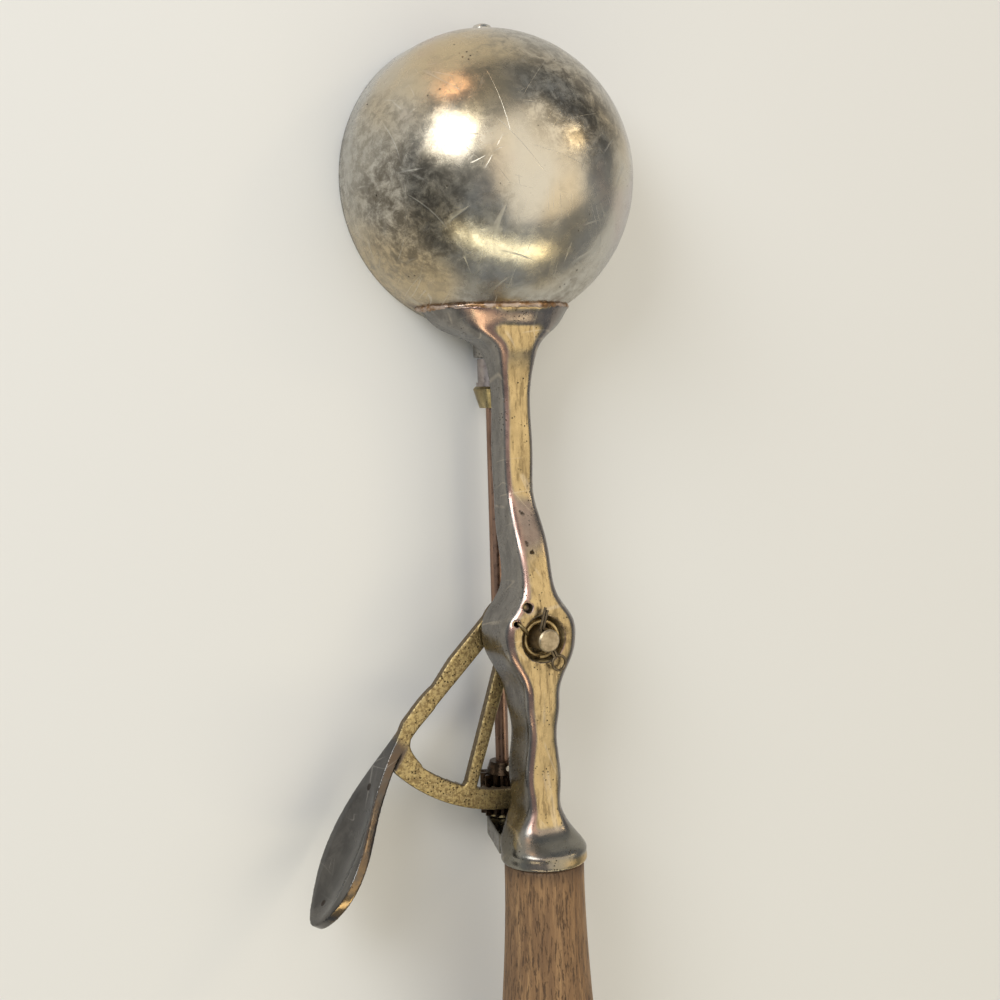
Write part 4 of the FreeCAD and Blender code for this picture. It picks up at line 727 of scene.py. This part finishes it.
class SCOOP_OT_bowl(bpy.types.Operator):
    """Build the domed bowl"""

    bl_idname = "scoop.bowl"
    bl_label = "Bowl"

    def execute(self, context):
        settings = context.scene.scoop_bowl
        inside = BOWL_RADIUS - settings.wall
        lip = BOWL_LIP
        profile = []
        for step in range(settings.rings):
            angle = math.pi / 2 * step / settings.rings
            profile.append((AXIS_HEIGHT + BOWL_RADIUS * math.cos(angle), BOWL_RADIUS * math.sin(angle)))
        for step in range(SKIRT_STEPS, 0, -1):
            profile.append((AXIS_HEIGHT * step / SKIRT_STEPS, BOWL_RADIUS))
        profile += [(lip, BOWL_RADIUS), (0.0, BOWL_RADIUS - lip), (0.0, inside + lip), (lip, inside)]
        for step in range(1, SKIRT_STEPS):
            profile.append((AXIS_HEIGHT * step / SKIRT_STEPS, inside))
        for step in range(settings.rings, -1, -1):
            angle = math.pi / 2 * step / settings.rings
            profile.append((AXIS_HEIGHT + inside * math.cos(angle), inside * math.sin(angle)))
        centre = Vector((0, 0, AXIS_HEIGHT))

        def uneven(point):
            """Shallow ripples of old sheet metal, the same on both faces."""
            away = (point - centre).normalized()
            deep = sum(share * noise.noise(away * scale) for scale, share in RIPPLES)
            return point - away * (abs(deep) * settings.ripple)

        mesh = lathe(profile, settings.segments, uneven)
        add_piece("bowl_dome", mesh, "root", ("bowl",), (bowl_finish(settings),))
        return {"FINISHED"}


def casting_hold(point):
    """Soften less near the pivot's recess, its anchor hole and the casting's two ends."""
    from_end = min(point.y - FERRULE_END, CASTING_FRONT - point.y)
    share = min(
        smooth_share((point.xy - PIVOT.xy).length, *FROM_PIN),
        smooth_share((point.xy - ANCHOR_HOLE).length, *FROM_HOLE),
        smooth_share(from_end, *FROM_END),
        FERRULE_SHARE + (1 - FERRULE_SHARE) * smooth_share(point.y, *FERRULE_FRONT),
    )
    return HELD_SHARE + (1 - HELD_SHARE) * share


class SCOOP_OT_casting(bpy.types.Operator):
    """Build the casting with its solder line"""

    bl_idname = "scoop.casting"
    bl_label = "Casting"

    def execute(self, context):
        settings = context.scene.scoop_casting
        recast(
            "frame_casting", "cast_frame", "root", settings.voxel,
            casting_finish(settings), CASTING_ROUNDS, casting_hold,
        )
        ring = math.sqrt((BOWL_RADIUS + SOLDER_STAND_OFF) ** 2 - SOLDER_PLANE ** 2)
        points = []
        for step in range(SOLDER_STEPS + 1):
            angle = math.radians(SOLDER_START + SOLDER_SWEEP * step / SOLDER_STEPS)
            sway = SOLDER_SWAY * noise.noise(Vector((step * SOLDER_WAVE, 0, 0)))
            height = AXIS_HEIGHT + ring * math.sin(angle)
            points.append(Vector((ring * math.cos(angle), SOLDER_PLANE + sway, height)))
        solder = solder_finish(settings)
        tube("solder_line", points, SOLDER_RADIUS, "root", solder, SOLDER_LUMPS)
        return {"FINISHED"}


def lever_hold(point):
    """Keep the rack's teeth crisp."""
    away = (point.xy - PIVOT.xy).length
    teeth = point.z < TEETH_TOP and RACK_BAND[0] < away < RACK_BAND[1] and point.x > RACK_LEFT
    return TEETH_SHARE if teeth else 1.0


# Plan of the swell that joins the arm, the rack's web and the paddle, in millimetres
GUSSET = (
    (-18.45, -101.12), (-20.91, -103.25), (-22.74, -105.24), (-24.79, -107.52), (-26.05, -110.30),
    (-27.23, -112.52), (-28.19, -115.42), (-26.51, -117.80), (-24.20, -118.33), (-20.59, -121.86),
    (-20.95, -116.59), (-22.19, -114.98), (-23.00, -113.64), (-23.41, -112.52), (-23.23, -111.06),
    (-21.32, -108.88), (-17.73, -105.49),
)
# The arm's blunt inner corner, and where the photographed one lies
ARM_CORNER = Vector((-21.85, -111.01)) * MM
ARM_CORNER_MOVE = Vector((-1.10, 0.64)) * MM
ARM_CORNER_REACH = 0.4 * MM
# The paddle's root: how far along and aside it is lowered, and where along it rises again
ROOT_ALONG = 9 * MM
ROOT_ASIDE = 2.5 * MM
ROOT_RISE = (-1 * MM, 8 * MM)


def lever_gusset(work):
    """Join the arm, the rack's web and the paddle in one sweep."""
    for vert in work.verts:
        if (vert.co.xy - ARM_CORNER).length < ARM_CORNER_REACH:
            vert.co.xy += ARM_CORNER_MOVE
        along = (vert.co - PADDLE_ROOT).dot(PADDLE_WAY)
        aside = abs((vert.co - PADDLE_ROOT).dot(PADDLE_SIDE))
        if vert.co.z > LEVER_TOP and along < ROOT_ALONG and aside < ROOT_ASIDE:
            vert.co.z = LEVER_TOP + (vert.co.z - LEVER_TOP) * smooth_share(along, *ROOT_RISE)
    prism(work, [(x * MM, y * MM) for x, y in GUSSET], LEVER_FOOT, LEVER_TOP)


class SCOOP_OT_lever(bpy.types.Operator):
    """Build the thumb lever"""

    bl_idname = "scoop.lever"
    bl_label = "Thumb lever"

    def execute(self, context):
        settings = context.scene.scoop_lever
        recast(
            "thumb_lever", "lever_cast", "lever", settings.voxel,
            lever_finish(settings), LEVER_ROUNDS, lever_hold, lever_gusset,
        )
        return {"FINISHED"}


class SCOOP_OT_drive(bpy.types.Operator):
    """Finish the shaft, gears, pivot and scraper"""

    bl_idname = "scoop.drive"
    bl_label = "Shaft and gears"

    def execute(self, context):
        settings = context.scene.scoop_drive
        bronze = metal_finish(
            "shaft_bronze", tuple(settings.bronze), (0.10, 0.06, 0.045), share=0.8, stretch=(1, 0.15, 1)
        )
        dull = metal_finish("dull_nickel", (0.40, 0.35, 0.33), (0.17, 0.14, 0.13), share=0.6)
        brass = metal_finish("dull_brass", *BRASS_TONES, share=0.7)
        bright = metal_finish(
            "bright_nickel", (0.62, 0.60, 0.55), (0.32, 0.28, 0.24), share=0.4, rough=(0.16, 0.3)
        )
        grime = metal_finish(
            "gear_grime", (0.085, 0.055, 0.035), tuple(settings.grime), share=0.9, rough=(0.2, 0.5), scale=700
        )
        steel = metal_finish(
            "pin_steel", (0.47, 0.39, 0.27), (0.20, 0.15, 0.09), share=0.6, rough=(0.35, 0.55), scale=900
        )
        wire = metal_finish(
            "dark_wire", (0.17, 0.135, 0.09), (0.035, 0.025, 0.017), share=0.6, rough=(0.3, 0.5), scale=900
        )
        spring = metal_finish(
            "spring_wire", (0.58, 0.45, 0.24), (0.14, 0.10, 0.05), share=0.7, rough=(0.35, 0.55), scale=900
        )
        blade = metal_finish("blade_plate", (0.48, 0.46, 0.42), (0.25, 0.22, 0.18), share=0.5)
        for node, material, bevel in (
            ("scraper_shaft", bronze, 0.05 * MM),
            ("shaft_sleeve", dull, 0.1 * MM),
            ("shaft_collar", brass, 0.15 * MM),
            ("collar_pin", bright, 0.08 * MM),
            ("pinion", grime, 0.06 * MM),
            ("pinion_pin", bright, 0.08 * MM),
            ("thrust_washer", brass, 0.08 * MM),
            ("pivot_pin", steel, 0.1 * MM),
            ("pivot_washer", brass, 0.1 * MM),
            ("return_spring", spring, 0),
            ("split_pin", wire, 0),
            ("tip_rivet", bright, 0.1 * MM),
            ("tip_washer", bright, 0.08 * MM),
            ("scraper_blade", blade, 0.08 * MM),
        ):
            dress(node, material, bevel)
        start, end = (
            Vector((PIVOT.x + across, PIVOT.y + along, BOSS_TOP - SPRING_SINK))
            for across, along in (SPRING_EXIT, SPRING_ANCHOR)
        )
        points = []
        for step in range(SPRING_STEPS + 1):
            rise = math.sin(math.pi * step / SPRING_STEPS) * SPRING_ARCH
            points.append(start.lerp(end, step / SPRING_STEPS) + Vector((0, 0, rise)))
        tube("spring_end", points, SPRING_WIRE_RADIUS, "root", spring)
        return {"FINISHED"}


class SCOOP_OT_handle(bpy.types.Operator):
    """Build the turned handle and finish its butt"""

    bl_idname = "scoop.handle"
    bl_label = "Handle"

    def execute(self, context):
        settings = context.scene.scoop_handle
        recast(
            "handle", "turned_handle", "root", settings.voxel,
            wood_finish(settings), HANDLE_ROUNDS,
        )
        brass = metal_finish("butt_brass", *BRASS_TONES, share=0.7)
        steel = metal_finish("tang_steel", (0.38, 0.35, 0.30), (0.14, 0.10, 0.06), share=0.6)
        dress("butt_washer", brass, 0.12 * MM)
        dress("butt_nut", brass, 0.2 * MM)
        dress("tang_rod", steel, 0.2 * MM)
        return {"FINISHED"}


# Camera of the photograph, in the scoop's own axes
CAMERA_PLACE = Vector((-0.12674, -0.03720, 0.27330))
CAMERA_RIGHT = Vector((0.90112, -0.02763, 0.43269))
CAMERA_UP = Vector((0.06536, 0.99522, -0.07257))
FOCAL_PIXELS = 1435.1
FRAME_PIXELS = 1000
SENSOR = 36.0

# Soft boxes: name, way to the lamp, its distance and size, power in watts, and colour
LAMPS = (
    ("window", (-0.70, 0.47, 0.54), 0.90, (0.44, 0.48), 4.4, (0.97, 0.99, 1.0)),
    ("warm_box", (0.26, 0.12, 0.95), 0.95, (1.50, 1.35), 6.4, (1.0, 0.87, 0.66)),
    ("gold_spot", (0.706, 0.38, 0.597), 0.80, (0.13, 0.13), 0.35, (1.0, 0.78, 0.46)),
    ("low_box", (-0.10, -0.80, 0.52), 0.90, (1.30, 0.15), 2.4, (1.0, 0.89, 0.58)),
    ("glow_box", (-0.42, 0.89, 0.17), 0.90, (0.26, 0.22), 0.55, (1.0, 0.62, 0.40)),
)
SKY = (0.90, 0.95, 1.0)
FLOOR_HALF = 3.0
FLOOR_HEIGHT = -0.02 * MM


def soft_box(name, way, far, size, power, color):
    """A rectangular lamp at a distance along a direction, facing the scoop."""
    lamp = bpy.data.lights.new(name, "AREA")
    lamp.shape = "RECTANGLE"
    lamp.size, lamp.size_y = size
    lamp.energy = power
    lamp.color = color
    item = bpy.data.objects.new(name, lamp)
    item.location = Vector(way).normalized() * far
    item.rotation_euler = item.location.to_track_quat("Z", "Y").to_euler()
    bpy.context.scene.collection.objects.link(item)


class SCOOP_OT_stage(bpy.types.Operator):
    """Set the floor, the lamps and the camera"""

    bl_idname = "scoop.stage"
    bl_label = "Stage"

    def execute(self, context):
        settings = context.scene.scoop_stage
        half, low = FLOOR_HALF, FLOOR_HEIGHT
        corners = [(-half, -half, low), (half, -half, low), (half, half, low), (-half, half, low)]
        mesh = bpy.data.meshes.new("floor")
        mesh.from_pydata(corners, [], [(0, 1, 2, 3)])
        floor = bpy.data.objects.new("floor", mesh)
        mesh.materials.append(Finish("floor_paper", 0.0, tuple(settings.floor), roughness=0.8).material)
        context.scene.collection.objects.link(floor)
        world = bpy.data.worlds.new("soft_room")
        context.scene.world = world
        world.use_nodes = True
        background = world.node_tree.nodes["Background"]
        background.inputs["Color"].default_value = (*SKY, 1)
        background.inputs["Strength"].default_value = settings.world
        for name, way, far, size, power, color in LAMPS:
            soft_box(name, way, far, size, power * settings.lamps, color)
        camera = bpy.data.cameras.new("photo_camera")
        camera.sensor_width = SENSOR
        camera.lens = SENSOR * FOCAL_PIXELS / FRAME_PIXELS
        camera.clip_start = 0.01
        item = bpy.data.objects.new("photo_camera", camera)
        back = CAMERA_RIGHT.cross(CAMERA_UP)
        turn = Matrix((CAMERA_RIGHT, CAMERA_UP, back)).transposed().to_4x4()
        item.matrix_world = Matrix.Translation(CAMERA_PLACE) @ turn
        context.scene.collection.objects.link(item)
        context.scene.camera = item
        context.scene.view_settings.view_transform = "Standard"
        return {"FINISHED"}


OPERATORS = (
    SCOOP_OT_bowl,
    SCOOP_OT_casting,
    SCOOP_OT_lever,
    SCOOP_OT_drive,
    SCOOP_OT_handle,
    SCOOP_OT_stage,
)


class SCOOP_PT_panel(bpy.types.Panel):
    """Sizes, colours and the operators that build the scoop"""

    bl_idname = "SCOOP_PT_panel"
    bl_label = "Lever scoop"
    bl_space_type = "VIEW_3D"
    bl_region_type = "UI"
    bl_category = "Scoop"

    def draw(self, context):
        for operator in OPERATORS:
            self.layout.operator(operator.bl_idname)
        for name, group in SETTINGS.items():
            box = self.layout.box()
            box.label(text=name.split("_")[1].capitalize())
            for prop in group.__annotations__:
                box.prop(getattr(context.scene, name), prop)


def register():
    for group in SETTINGS.values():
        bpy.utils.register_class(group)
    for name, group in SETTINGS.items():
        setattr(bpy.types.Scene, name, PointerProperty(type=group))
    for item in (*OPERATORS, SCOOP_PT_panel):
        bpy.utils.register_class(item)


def unregister():
    for item in (SCOOP_PT_panel, *reversed(OPERATORS)):
        bpy.utils.unregister_class(item)
    for name in SETTINGS:
        delattr(bpy.types.Scene, name)
    for group in reversed(SETTINGS.values()):
        bpy.utils.unregister_class(group)


def main():
    register()
    bpy.ops.scoop.bowl()
    bpy.ops.scoop.casting()
    bpy.ops.scoop.lever()
    bpy.ops.scoop.drive()
    bpy.ops.scoop.handle()
    bpy.ops.scoop.stage()


if __name__ == "__main__":
    main()
